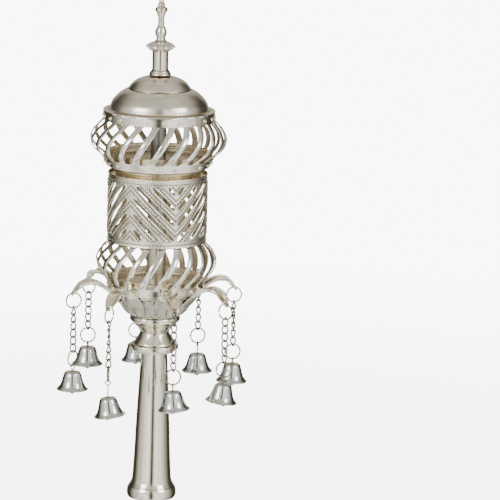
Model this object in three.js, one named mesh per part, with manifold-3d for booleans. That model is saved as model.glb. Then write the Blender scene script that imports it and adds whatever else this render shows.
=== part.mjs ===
// A Torah finial (rimon) in silver plate: a socket handle, a turned collar and a fluted cup with
// leaf arms, from which bells hang on curb chains. On the cup stand a pierced basket, a pierced
// drum with a herringbone of slots, a second basket and a stepped dome with a turned spire.
//
// Millimetres and degrees. +Z is up, the origin is on the axis at the underside of the foot.
// Azimuths are counted from the front (-Y), positive towards +X.
import * as THREE from "three";
import { mergeVertices } from "three/addons/utils/BufferGeometryUtils.js";
import Module from "manifold-3d";

const wasm = await Module();
wasm.setup();

// ---- Driving dimensions ----

const GAP = 0.3; // left between pieces that touch
const SHEET = 0.7; // rolled and spun sheet
const FINE_SIDES = 24; // facets round the dome
const PLAIN_SIDES = 16; // facets round the other turned pieces
const THIN_SIDES = 12; // facets round the slender ones

const SOCKET_TOP = 97.9;
const COLLAR = { bottom: SOCKET_TOP + GAP, top: 122.6 };
const CUP = { bottom: COLLAR.top + GAP, rimZ: 137.4, rimR: 29.1, wall: 1.5, ribs: 16, ribDepth: 0.05 };
const ARM = { thickness: 1.1, overRing: 1.4, holeR: 1.25, holeInside: 0.55, usualRingZ: 133.6 };

const LOWER_BASKET = {
  strips: 20,
  share: 0.42, // of a pitch that is metal
  topAzimuth: -10.5, // middle of one strip at its upper end
  twist: -23.3, // from a strip's upper end to its lower end
  radii: [31.0, 31.0, 36.4, 39.2, 36.8, 32.0, 31.4],
  heights: [177.4, 172.2, 166.6, 160.3, 152.6, 145.7, 140.2],
};
const UPPER_BASKET = {
  strips: 22,
  share: 0.4,
  topAzimuth: 13.5,
  twist: -20.7,
  radii: [36.1, 36.2, 41.4, 44.2, 42.0, 36.0, 33.2],
  heights: [257.2, 252.2, 246.6, 240.0, 233.2, 227.2, 222.0],
};

const DRUM = {
  bottom: 172.6,
  top: 217.4,
  outerR: 32.5,
  wall: 0.7,
  column: 54, // azimuth that one leg of the zigzag covers
  crest: -32, // azimuth of one upward point of the zigzag
  rise: 29.2, // height from a downward point to an upward one
  ends: [3.5, 9, 25, 41.5, 48.6], // azimuths from a downward point where slots start and end
  base: 175.6, // height of a slot's lower edge, carried on to a downward point
  pitch: 9.95, // height from slot to slot
  slot: 3.2, // height of a slot, measured upright
  bottomBorder: 5.6,
  topBorder: 5.2,
};

const LOWER_TRAY = { floor: 143.8, rim: 149.0, edgeR: 30.5, footR: 28.5, footZ: CUP.rimZ + GAP };
const UPPER_TRAY = { floor: 225.2, rim: 231.2, edgeR: 33.6, footR: 29.4, footZ: 222.2 };
const LOWER_TUBE_R = 6.2;
const UPPER_TUBE_R = 4.9;

const DOME = { flange: 258.1, top: 280.1 };
const STEM = { bottom: DOME.top + GAP, top: 296.1 };
const SPIRE = { bottom: STEM.top + GAP, lobes: 18, lobeDepth: 0.1 };

const BELL = { height: 11.7, holeR: 1.2, sides: 8 };
const RING = { r: 4.95, wire: 0.36, sides: 8 };
const LINK = { halfWidth: 1.85, halfLength: 2.93, wire: 0.5, sides: 6, pitch: 4.98, twist: 80 };
const EYELET = { r: 1.6, wire: 0.42, sides: 5 };
const HOOK = 1.15; // from the middle of a ring's wire to that of the wire hooked through it
const CLAPPER = { stemR: 0.45, stemSides: 4, bobR: 1.6, bobHeight: 3.2, bobSides: 5 };

// One pendant for each arm: the arm's azimuth, how far out and how high its ring hangs, the links
// in its chain, the turn of its lower ring, the drop from that ring to the bell and the bell's tilt.
const PENDANTS = [
  { azimuth: 13, reach: 54.8, ringZ: 132.3, links: 6, turn: 10, drop: 9.5, tilt: 5 },
  { azimuth: 58, reach: 53.4, ringZ: 131.7, links: 6, turn: 0, drop: 9.5, tilt: -7 },
  { azimuth: 103, reach: 52.9, ringZ: 134.5, links: 6, turn: 10, drop: 8.2, tilt: -2 },
  { azimuth: 148, reach: 54.4, ringZ: 131.8, links: 5, turn: 15, drop: 12.5, tilt: 0 },
  { azimuth: -167, reach: 55.0, ringZ: 133.0, links: 5, turn: 5, drop: 8.7, tilt: 3 },
  { azimuth: -122, reach: 52.0, ringZ: 135.0, links: 5, turn: 15, drop: 8.0, tilt: 0 },
  { azimuth: -77, reach: 54.2, ringZ: 133.6, links: 6, turn: 55, drop: 9.0, tilt: 0 },
  { azimuth: -32, reach: 55.0, ringZ: 132.0, links: 6, turn: 85, drop: 15.8, tilt: 8 },
];

// ---- Finishes ----

const SILVER = new THREE.MeshStandardMaterial({ color: 0xcfcbbd, roughness: 0.25, metalness: 1 });
const SATIN = new THREE.MeshStandardMaterial({ color: 0xb9b3a4, roughness: 0.35, metalness: 1 });
const NICKEL = new THREE.MeshStandardMaterial({ color: 0xb7bcbd, roughness: 0.18, metalness: 1 });
const WIRE = new THREE.MeshStandardMaterial({ color: 0xa79c84, roughness: 0.35, metalness: 1 });
const TARNISH = new THREE.MeshStandardMaterial({ color: 0x8a7350, roughness: 0.45, metalness: 1 });

// ---- Helpers ----

const radians = THREE.MathUtils.degToRad;

// The point at a radius, an azimuth and a height.
function around(radius, azimuth, z) {
  const a = radians(azimuth);
  return new THREE.Vector3(radius * Math.sin(a), -radius * Math.cos(a), z);
}

// A turned solid from [radius, height] pairs that run up the outside, and down the inside if hollow.
function turned(profile, sides) {
  const points = profile.map(([r, z]) => new THREE.Vector2(r, z));
  return new THREE.LatheGeometry(points, sides).rotateX(Math.PI / 2);
}

// The same, with every second meridian drawn in by a share of its radius: gadroons or flutes.
function lobed(profile, lobes, depth) {
  const geometry = turned(profile, lobes * 2);
  const position = geometry.attributes.position;
  for (let i = 0; i < position.count; i += 1) {
    const angle = Math.atan2(position.getY(i), position.getX(i));
    const scale = 1 - depth * (0.5 - 0.5 * Math.cos(lobes * (angle + Math.PI / 2)));
    position.setXY(i, position.getX(i) * scale, position.getY(i) * scale);
  }
  return geometry;
}

// A wire bent into a ring about the Z axis, three-sided, with one edge of the wire facing inwards
// and a corner of the ring at each end of the Y axis.
function wireRing(radius, wire, sides) {
  const half = wire * Math.cos(radians(30));
  const inner = [radius - wire, 0];
  const section = [inner, [radius + wire / 2, -half], [radius + wire / 2, half], inner];
  return turned(section, sides);
}

// Shared vertices merged, with the triangles that this leaves flat taken out.
function welded(geometry) {
  const bare = new THREE.BufferGeometry();
  bare.setAttribute("position", geometry.attributes.position.clone());
  bare.setIndex(geometry.index);
  const merged = mergeVertices(bare, 1e-4);
  const kept = [];
  for (let i = 0; i < merged.index.count; i += 3) {
    const [a, b, c] = [0, 1, 2].map((corner) => merged.index.getX(i + corner));
    if (a !== b && b !== c && c !== a) kept.push(a, b, c);
  }
  merged.setIndex(kept);
  return merged;
}

function solidOf(geometry) {
  const { attributes, index } = welded(geometry);
  const vertProperties = new Float32Array(attributes.position.array);
  const triVerts = new Uint32Array(index.array);
  return new wasm.Manifold(new wasm.Mesh({ numProp: 3, vertProperties, triVerts }));
}

function geometryOf(solid) {
  const mesh = solid.getMesh();
  const geometry = new THREE.BufferGeometry();
  geometry.setAttribute("position", new THREE.BufferAttribute(mesh.vertProperties, 3));
  geometry.setIndex(new THREE.BufferAttribute(mesh.triVerts, 1));
  return geometry;
}

function joined(geometries) {
  const [first, ...others] = geometries.map(solidOf);
  return geometryOf(others.reduce((sum, solid) => sum.add(solid), first));
}

function piece(name, geometry, material) {
  const flat = geometry.index ? geometry.toNonIndexed() : geometry;
  flat.computeVertexNormals();
  const mesh = new THREE.Mesh(flat, material);
  mesh.name = name;
  return mesh;
}

// A sheet rolled into a ring and pierced. place(column, row, outer) gives the corners of its cells,
// the last column of corners lying on the first, and isOpen(column, row) says which cells are holes.
function piercedSheet(columns, rows, place, isOpen) {
  const vertices = [];
  const quad = (a, b, c, d) => vertices.push(...[a, b, c, a, c, d].flatMap((p) => p.toArray()));
  const hole = (column, row) => {
    if (row < 0 || row >= rows) return true;
    return isOpen((column + columns) % columns, row);
  };
  for (let column = 0; column < columns; column += 1) {
    for (let row = 0; row < rows; row += 1) {
      if (hole(column, row)) continue;
      const corners = [[0, 0], [1, 0], [1, 1], [0, 1]];
      const out = corners.map(([c, r]) => place(column + c, row + r, true));
      const inn = corners.map(([c, r]) => place(column + c, row + r, false));
      quad(out[0], out[1], out[2], out[3]);
      quad(inn[3], inn[2], inn[1], inn[0]);
      if (hole(column, row - 1)) quad(inn[0], inn[1], out[1], out[0]);
      if (hole(column, row + 1)) quad(out[3], out[2], inn[2], inn[3]);
      if (hole(column - 1, row)) quad(inn[0], out[0], out[3], inn[3]);
      if (hole(column + 1, row)) quad(out[1], inn[1], inn[2], out[2]);
    }
  }
  const geometry = new THREE.BufferGeometry();
  geometry.setAttribute("position", new THREE.Float32BufferAttribute(vertices, 3));
  return welded(geometry);
}

// ---- Handle, collar and cup ----

function socketTube() {
  const outside = [
    [15.4, 0], [16.2, 2.0], [16.2, 5.2], [15.3, 7.4], [13.3, 10.6], [12.6, 15.1], [11.05, 50.4],
    [8.5, SOCKET_TOP],
  ];
  const inside = [[13.3, 0], [12.2, 10.6], [11.5, 15.1], [9.95, 50.4], [7.4, SOCKET_TOP]];
  const profile = [...outside, ...inside.reverse(), outside[0]];
  return piece("socket_tube", turned(profile, PLAIN_SIDES), SILVER);
}

function socketCollar() {
  const profile = [
    [0, COLLAR.bottom], [12.6, COLLAR.bottom], [15.1, 100.3], [15.7, 102.6], [13.6, 103.6],
    [13.2, 104.7], [11.5, 107.6], [9.7, 110.7], [9.6, 112.2], [12.2, 115.6], [13.2, 116.8],
    [16.2, 119.6], [16.4, 121.4], [16.2, COLLAR.top], [0, COLLAR.top],
  ];
  return piece("socket_collar", turned(profile, PLAIN_SIDES), SILVER);
}

// One leaf arm, a trough with raised edges that grows out of the cup as a petal, arches over and
// droops. Its outer end follows the height and the reach of the ring that hangs there.
function leafArm({ azimuth, reach, ringZ }) {
  const end = reach + ARM.overRing;
  const fallen = ringZ - ARM.usualRingZ;
  const stations = [
    { r: 23.7, z: 131.5, width: 13.2, edge: 0.4, share: 0 },
    { r: 28.3, z: 136.6, width: 12.2, edge: 0.7, share: 0 },
    { r: 33.6, z: 141.1, width: 9.4, edge: 1.7, share: 0 },
    { r: 40.6, z: 144.4, width: 8.8, edge: 2.2, share: 0.2 },
    { r: 47.8, z: 143.7, width: 9.6, edge: 2.2, share: 0.6 },
    { r: end - 3.4, z: 140.5, width: 7.6, edge: 1.5, share: 1 },
    { r: end, z: 137.0, width: 3.2, edge: 0.7, share: 1 },
  ];
  const rings = stations.map(({ r, z, width, edge, share }) => {
    const w = width / 2;
    const under = edge - ARM.thickness;
    const section = [[0, 0], [w, edge], [w, under], [0, -ARM.thickness], [-w, under], [-w, edge]];
    return section.map(([x, up]) => new THREE.Vector3(x, -r, z + share * fallen + up));
  });
  const triangles = [];
  const sides = rings[0].length;
  for (let s = 0; s + 1 < rings.length; s += 1) {
    for (let i = 0; i < sides; i += 1) {
      const j = (i + 1) % sides;
      const [near, far] = [rings[s], rings[s + 1]];
      triangles.push([near[i], far[j], near[j]], [near[i], far[i], far[j]]);
    }
  }
  const [root, tip] = [rings[0], rings[rings.length - 1]];
  for (const [a, b, c] of [[0, 1, 2], [0, 2, 3], [0, 3, 4], [0, 4, 5]]) {
    triangles.push([root[a], root[b], root[c]], [tip[a], tip[c], tip[b]]);
  }
  const geometry = new THREE.BufferGeometry().setFromPoints(triangles.flat());
  return geometry.rotateZ(radians(azimuth));
}

// The hole in a leaf's tip that its ring goes through.
function tipHole({ azimuth, reach, ringZ }) {
  const cutter = new THREE.CylinderGeometry(ARM.holeR, ARM.holeR, 8, 6).rotateX(Math.PI / 2);
  cutter.translate(0, -(reach - ARM.holeInside), ringZ + RING.r);
  return cutter.rotateZ(radians(azimuth));
}

function armCup() {
  const { bottom, rimZ, rimR, wall, ribs, ribDepth } = CUP;
  const bowl = [
    [16.4, bottom], [19.9, 125.4], [23.0, 129.8], [25.4, 133.8], [rimR, rimZ],
    [rimR - wall, rimZ], [22.6, 131.8], [15.6, bottom + wall],
  ];
  const profile = [[0, bottom], ...bowl, [0, bottom + wall]];
  const ribbed = lobed(profile, ribs, ribDepth).rotateZ(radians(PENDANTS[0].azimuth));
  let solid = solidOf(ribbed);
  for (const pendant of PENDANTS) {
    solid = solid.add(solidOf(leafArm(pendant))).subtract(solidOf(tipHole(pendant)));
  }
  return piece("arm_cup", geometryOf(solid), SATIN);
}

// ---- Baskets, trays and drum ----

// A band, a ring of S-curved strips and a second band, pierced and bent from one sheet.
function basket(name, { strips, share, topAzimuth, twist, radii, heights }, firstStrip) {
  const rows = heights.length - 1;
  const pitch = 360 / strips;
  const first = heights[firstStrip];
  const last = heights[rows - 1];
  const place = (column, row, outer) => {
    const level = rows - row; // rows run upwards, the profile is listed downwards
    const along = THREE.MathUtils.clamp((first - heights[level]) / (first - last), 0, 1);
    const edge = column % 2 === 0 ? -share / 2 : share / 2;
    const azimuth = topAzimuth + twist * along + pitch * (Math.floor(column / 2) + edge);
    return around(radii[level] - (outer ? 0 : SHEET), azimuth, heights[level]);
  };
  const isOpen = (column, row) => {
    const inBand = row === 0 || rows - row <= firstStrip;
    return column % 2 === 1 && !inBand;
  };
  return piece(name, piercedSheet(strips * 2, rows, place, isOpen), SILVER);
}

// The dish in the foot of a basket, with a stepped rim and a foot ring under it.
function tray(name, { floor, rim, edgeR, footR, footZ }) {
  const step = floor + (rim - floor) / 2;
  const under = floor - SHEET;
  const profile = [
    [0, under], [footR - 1, under], [footR - 1, footZ], [footR, footZ], [footR, under - 0.3],
    [edgeR, under + 0.6], [edgeR - 0.8, step], [edgeR - 0.2, rim],
    [edgeR - 0.9, rim], [edgeR - 2.0, step], [edgeR - 3.2, floor + 0.3], [0, floor],
  ];
  return piece(name, turned(profile, PLAIN_SIDES), SATIN);
}

// The cove neck between the upper basket and the drum, with the plate that closes the drum.
function drumCap() {
  const top = UPPER_TRAY.footZ - GAP;
  const plateR = 31.0;
  const profile = [
    [0, 214.6], [plateR, 214.6], [plateR, 215.4], [27.6, 215.6], [27.6, 219.3], [28.4, 219.9],
    [29.6, 221.2], [29.6, top], [28.4, top], [26.6, 219.6], [26.5, 215.6], [0, 215.4],
  ];
  return piece("drum_cap", turned(profile, PLAIN_SIDES), SATIN);
}

// The drum's downward points, the azimuth of the sheet's seam, which lies midway between the first
// and the last of them, and the azimuth left whole on each side of it and of an upward point.
function drumPoints() {
  const { column, crest, ends } = DRUM;
  const valleys = [-3, -1, 1, 3].map((n) => crest + n * column);
  const seam = (valleys[0] - 360 + valleys[valleys.length - 1]) / 2;
  return { valleys, seam, spine: column - ends[ends.length - 1] };
}

// Azimuths of the corners across the drum's sheet, from the seam round to the seam again.
function drumAzimuths() {
  const { valleys, seam, spine } = drumPoints();
  const azimuths = [seam, seam + spine, seam + 360 - spine, seam + 360];
  for (const valley of valleys) {
    const offsets = [...DRUM.ends, DRUM.column];
    const corners = [valley, ...offsets.flatMap((offset) => [valley - offset, valley + offset])];
    const inside = corners.filter((azimuth) => azimuth > azimuths[1] && azimuth < azimuths[2]);
    azimuths.push(...inside.filter((azimuth) => !azimuths.includes(azimuth)));
  }
  return azimuths.sort((first, second) => first - second);
}

// The pierced drum: slots in a herringbone between a lower and an upper border. A slot is the
// stretch between two zigzag lines, and both lines run on level where they meet a border.
function drum() {
  const { bottom, top, outerR, wall, column, rise, ends, base, pitch, slot } = DRUM;
  const low = bottom + DRUM.bottomBorder;
  const high = top - DRUM.topBorder;
  const { valleys, spine } = drumPoints();
  const azimuths = drumAzimuths();
  const last = azimuths.length - 2; // the stretch that ends at the seam
  const lowest = -2; // the zigzag whose slots start at an upward point, just over the border
  const highest = 3; // the one whose slots end at a downward point, just under the border
  const lines = (highest - lowest + 1) * 2 + 2;
  const fromValley = (azimuth) => Math.min(...valleys.map((valley) => Math.abs(azimuth - valley)));
  const rawHeight = (station, line) => {
    const zigzag = Math.floor((line - 1) / 2) + lowest;
    const level = (rise * fromValley(azimuths[station])) / column;
    return base + pitch * zigzag + level + (line % 2 === 0 ? slot : 0);
  };
  const height = (station, line) => {
    if (line === 0) return bottom;
    if (line === lines - 1) return top;
    return THREE.MathUtils.clamp(rawHeight(station, line), low, high);
  };
  const place = (station, line, outer) =>
    around(outer ? outerR : outerR - wall, azimuths[station], height(station, line));
  const clear = (station, line) => {
    const middle = rawHeight(station, line) + slot / 2;
    return middle > low && middle < high;
  };
  const isOpen = (station, line) => {
    const isSlot = line % 2 === 1 && line < lines - 1;
    const middle = fromValley((azimuths[station] + azimuths[station + 1]) / 2);
    const isWhole = middle < ends[0] || middle > column - spine || station === 0 || station === last;
    return isSlot && !isWhole && clear(station, line) && clear(station + 1, line);
  };
  return piece("drum", piercedSheet(azimuths.length - 1, lines - 1, place, isOpen), SILVER);
}

function centreTube(name, radius, bottom, top) {
  const geometry = new THREE.CylinderGeometry(radius, radius, top - bottom, THIN_SIDES);
  geometry.rotateX(Math.PI / 2).translate(0, 0, (bottom + top) / 2);
  return piece(name, geometry, SATIN);
}

// ---- Dome and spire ----

// The spun dome: a small cap that breaks into a wider one, and a flange over the basket's band.
function dome() {
  const cap = [[14.7, 277.5], [7.2, 279.8]];
  const shoulder = [[31.8, 259.6], [31.2, 261.8], [28.5, 265.8], [24.5, 269.8], [19.9, 272.1]];
  const inside = [[0, 279.3], [14.2, 276.7], [19.0, 271.4], [27.7, 265.4], [31.0, 259.0]];
  const flange = [[35.4, DOME.flange - 0.6], [36.3, DOME.flange - 0.6], [36.3, DOME.flange]];
  const profile = [...inside, ...flange, ...shoulder, ...cap, [0, DOME.top]];
  return piece("dome", turned(profile, FINE_SIDES), SATIN);
}

function spireStem() {
  const profile = [
    [0, STEM.bottom], [6.75, STEM.bottom], [7.1, 281.6], [5.75, 283.5], [5.2, 284.7],
    [5.24, STEM.top], [0, STEM.top],
  ];
  return piece("spire_stem", turned(profile, THIN_SIDES + 2), SILVER);
}

// The cast spire: a gadrooned collar with a turned spindle on it.
function spire() {
  const collar = [
    [0, SPIRE.bottom], [6.4, SPIRE.bottom], [9.6, 298.7], [7.2, 301.2], [4.2, 302.3], [0, 302.3],
  ];
  const spindle = [
    [0, 300], [3.9, 300], [3.9, 302.5], [2.8, 303.9], [3.85, 308.0], [2.1, 312.6], [2.05, 316.6],
    [2.6, 320.0], [4.1, 322.7], [2.1, 324.9], [2.6, 326.1], [1.6, 327.2], [1.8, 328.6], [0, 330],
  ];
  const geometry = joined([lobed(collar, SPIRE.lobes, SPIRE.lobeDepth), turned(spindle, 8)]);
  return piece("spire", geometry, SILVER);
}

// ---- Bells on chains ----

function bell(name) {
  const outside = [[10.3, -11.7], [8.7, -9.9], [7.2, -6.4], [5.5, -1.1], [4.2, 0]];
  const inside = [[BELL.holeR, 0], [BELL.holeR, -0.6], [4.8, -1.5], [7.6, -9.0]];
  const profile = [...outside, ...inside, outside[0]];
  return piece(name, turned(profile, BELL.sides), NICKEL);
}

function upright(geometry) {
  return geometry.rotateX(Math.PI / 2);
}

// A curb link: a long hexagon of wire, upright and twisted about its length, at an angle and a
// height. The inner edges of its short sides cross those of its neighbours.
function link(angle, z) {
  const { halfWidth, halfLength, wire, sides, twist } = LINK;
  const geometry = upright(wireRing(halfWidth, wire, sides).rotateZ(Math.PI / 2));
  const position = geometry.attributes.position;
  const stretch = halfLength - wire - (halfWidth - wire) * Math.cos(Math.PI / sides);
  const up = new THREE.Vector3(0, 0, 1);
  for (let i = 0; i < position.count; i += 1) {
    const corner = new THREE.Vector3().fromBufferAttribute(position, i);
    if (Math.abs(corner.z) > wire) corner.z += Math.sign(corner.z) * stretch;
    corner.applyAxisAngle(up, radians((twist * corner.z) / (2 * halfLength)));
    position.setXYZ(i, corner.x, corner.y, corner.z);
  }
  return geometry.rotateZ(radians(angle)).translate(0, 0, z);
}

// A chain whose first link lies across the upper ring and whose last lies across the lower one.
function chain(name, { azimuth, links, turn }, firstZ) {
  const half = LINK.twist / 2;
  const start = azimuth - half;
  const whole = THREE.MathUtils.euclideanModulo(turn + 90 + half - start, 180);
  const step = (whole > 90 ? whole - 180 : whole) / (links - 1);
  const parts = [];
  for (let i = 0; i < links; i += 1) parts.push(link(start + i * step, firstZ - i * LINK.pitch));
  return piece(name, joined(parts), WIRE);
}

// The hanger of a bell, with its clapper: an eyelet, a wire through the crown and a bob below.
function clapper(name, eyeletZ, bobTop) {
  const eyelet = upright(wireRing(EYELET.r, EYELET.wire, EYELET.sides)).translate(0, 0, eyeletZ);
  const stemTop = eyeletZ - EYELET.r;
  const stemBottom = bobTop - CLAPPER.bobHeight / 2;
  const rod = (radius, high, low, sides) => {
    const geometry = new THREE.CylinderGeometry(radius, radius, high - low, sides);
    return geometry.rotateX(Math.PI / 2).translate(0, 0, (high + low) / 2);
  };
  const stem = rod(CLAPPER.stemR, stemTop, stemBottom, CLAPPER.stemSides);
  const bob = rod(CLAPPER.bobR, bobTop, bobTop - CLAPPER.bobHeight, CLAPPER.bobSides);
  return piece(name, joined([eyelet, stem, bob]), TARNISH);
}

// A pendant: a ring through the leaf's tip, a chain, a second ring, a bell and its clapper.
function pendant(spec, number) {
  const group = new THREE.Group();
  group.position.copy(around(spec.reach, spec.azimuth, 0));
  const topRing = piece(`top_ring_${number}`, upright(wireRing(RING.r, RING.wire, RING.sides)), WIRE);
  topRing.position.z = spec.ringZ;
  topRing.rotation.z = radians(spec.azimuth - 90);

  const firstZ = spec.ringZ - RING.r + HOOK - LINK.halfLength;
  const lastZ = firstZ - (spec.links - 1) * LINK.pitch;
  const lowerZ = lastZ - LINK.halfLength + HOOK - RING.r;
  const lowerRing = piece(`lower_ring_${number}`, topRing.geometry.clone(), WIRE);
  lowerRing.position.z = lowerZ;
  lowerRing.rotation.z = radians(spec.turn);

  const bellTop = lowerZ - spec.drop;
  const body = bell(`bell_${number}`);
  body.position.z = bellTop;
  body.rotation.y = radians(-spec.tilt);

  const eyeletZ = lowerZ - RING.r + HOOK - EYELET.r;
  const hanger = clapper(`clapper_${number}`, eyeletZ, bellTop - BELL.height);
  hanger.rotation.z = radians(spec.turn + 90);
  group.add(topRing, chain(`chain_${number}`, spec, firstZ), lowerRing, body, hanger);
  return group;
}

// ---- The whole finial ----

const finial = new THREE.Group();
finial.add(socketTube(), socketCollar(), armCup());
finial.add(tray("lower_tray", LOWER_TRAY), basket("lower_basket", LOWER_BASKET, 1));
finial.add(centreTube("lower_tube", LOWER_TUBE_R, LOWER_TRAY.floor + GAP, 214.3), drum(), drumCap());
finial.add(tray("upper_tray", UPPER_TRAY), basket("upper_basket", UPPER_BASKET, 1));
finial.add(centreTube("upper_tube", UPPER_TUBE_R, UPPER_TRAY.floor + GAP, 278.0));
finial.add(dome(), spireStem(), spire());
PENDANTS.forEach((spec, index) => finial.add(pendant(spec, index + 1)));

export default finial;
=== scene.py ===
"""Looks of a silver-plated Torah finial: its pieces, finishes, stage, light and camera.

Lengths are in millimetres until a mesh is made. Azimuths are in degrees from the front (-Y),
positive towards +X. Heights in a piece's profile count from the lowest point of its solid.
"""

from __future__ import annotations

import logging
import math
from dataclasses import dataclass, field
from enum import Enum
from functools import lru_cache
from typing import Callable, Sequence

import bpy
import bmesh
from mathutils import Matrix, Vector


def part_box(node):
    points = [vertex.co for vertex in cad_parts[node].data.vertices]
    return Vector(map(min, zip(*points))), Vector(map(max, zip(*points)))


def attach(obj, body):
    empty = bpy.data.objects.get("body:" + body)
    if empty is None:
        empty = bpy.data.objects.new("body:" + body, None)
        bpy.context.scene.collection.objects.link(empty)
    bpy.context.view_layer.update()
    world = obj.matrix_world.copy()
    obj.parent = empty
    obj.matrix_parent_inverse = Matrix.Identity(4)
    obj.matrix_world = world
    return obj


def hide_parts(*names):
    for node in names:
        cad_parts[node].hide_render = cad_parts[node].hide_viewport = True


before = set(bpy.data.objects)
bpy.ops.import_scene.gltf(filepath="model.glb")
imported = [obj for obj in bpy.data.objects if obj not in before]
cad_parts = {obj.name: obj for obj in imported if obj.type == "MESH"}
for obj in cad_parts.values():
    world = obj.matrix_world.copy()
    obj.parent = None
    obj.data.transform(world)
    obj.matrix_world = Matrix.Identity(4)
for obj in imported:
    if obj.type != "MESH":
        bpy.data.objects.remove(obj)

LOG = logging.getLogger("finial")
MM = 0.001
# corners this close are welded, and faces this thin are dropped, in metres
WELD = 2e-6
SLIVER = 1e-7

Profile = Sequence[tuple[float, float]]


# ---------------------------------------------------------------- measuring


def polar(radius: float, azimuth: float, z: float) -> Vector:
    """The point at a radius, an azimuth and a height."""
    a = math.radians(azimuth)
    return Vector((radius * math.sin(a), -radius * math.cos(a), z))


@dataclass(frozen=True)
class Seat:
    """The space that a solid of the frame takes up, in millimetres.

    Attributes:
        low: its lowest corner.
        high: its highest corner.
    """

    low: Vector
    high: Vector

    @classmethod
    def of(cls, node: str) -> "Seat":
        """The seat of the named solid."""
        low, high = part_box(node)
        return cls(low / MM, high / MM)

    @property
    def middle(self) -> Vector:
        """The centre of the space."""
        return (self.low + self.high) / 2

    @property
    def azimuth(self) -> float:
        """The azimuth of the centre."""
        return math.degrees(math.atan2(self.middle.x, -self.middle.y))


def smooth_run(points: Profile, spans: int = 6) -> list[tuple[float, float]]:
    """A smooth curve through points.

    Args:
        points: the points that it passes through.
        spans: the straight pieces from one point to the next.

    Returns:
        The points of the curve, first and last included.
    """
    curve = []
    last = len(points) - 1
    for i in range(last):
        p0 = points[max(i - 1, 0)]
        p1, p2 = points[i], points[i + 1]
        p3 = points[min(i + 2, last)]
        for step in range(spans):
            t = step / spans
            curve.append(
                tuple(
                    0.5
                    * (
                        2 * b
                        + (c - a) * t
                        + (2 * a - 5 * b + 4 * c - d) * t * t
                        + (3 * b - a - 3 * c + d) * t**3
                    )
                    for a, b, c, d in zip(p0, p1, p2, p3)
                )
            )
    curve.append(tuple(points[-1]))
    return curve


def smooth_profile(*runs: Profile, spans: int = 6) -> list[tuple[float, float]]:
    """Smooth runs set end to end, with a corner wherever one meets the next.

    Args:
        *runs: the points of each run.
        spans: the straight pieces from one point to the next.

    Returns:
        The points of the whole profile.
    """
    whole: list[tuple[float, float]] = []
    for run in runs:
        curve = smooth_run(run, spans) if len(run) > 2 else [tuple(p) for p in run]
        if whole and math.dist(whole[-1], curve[0]) < 1e-6:
            curve = curve[1:]
        whole.extend(curve)
    return whole


# ---------------------------------------------------------------- meshes


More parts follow.
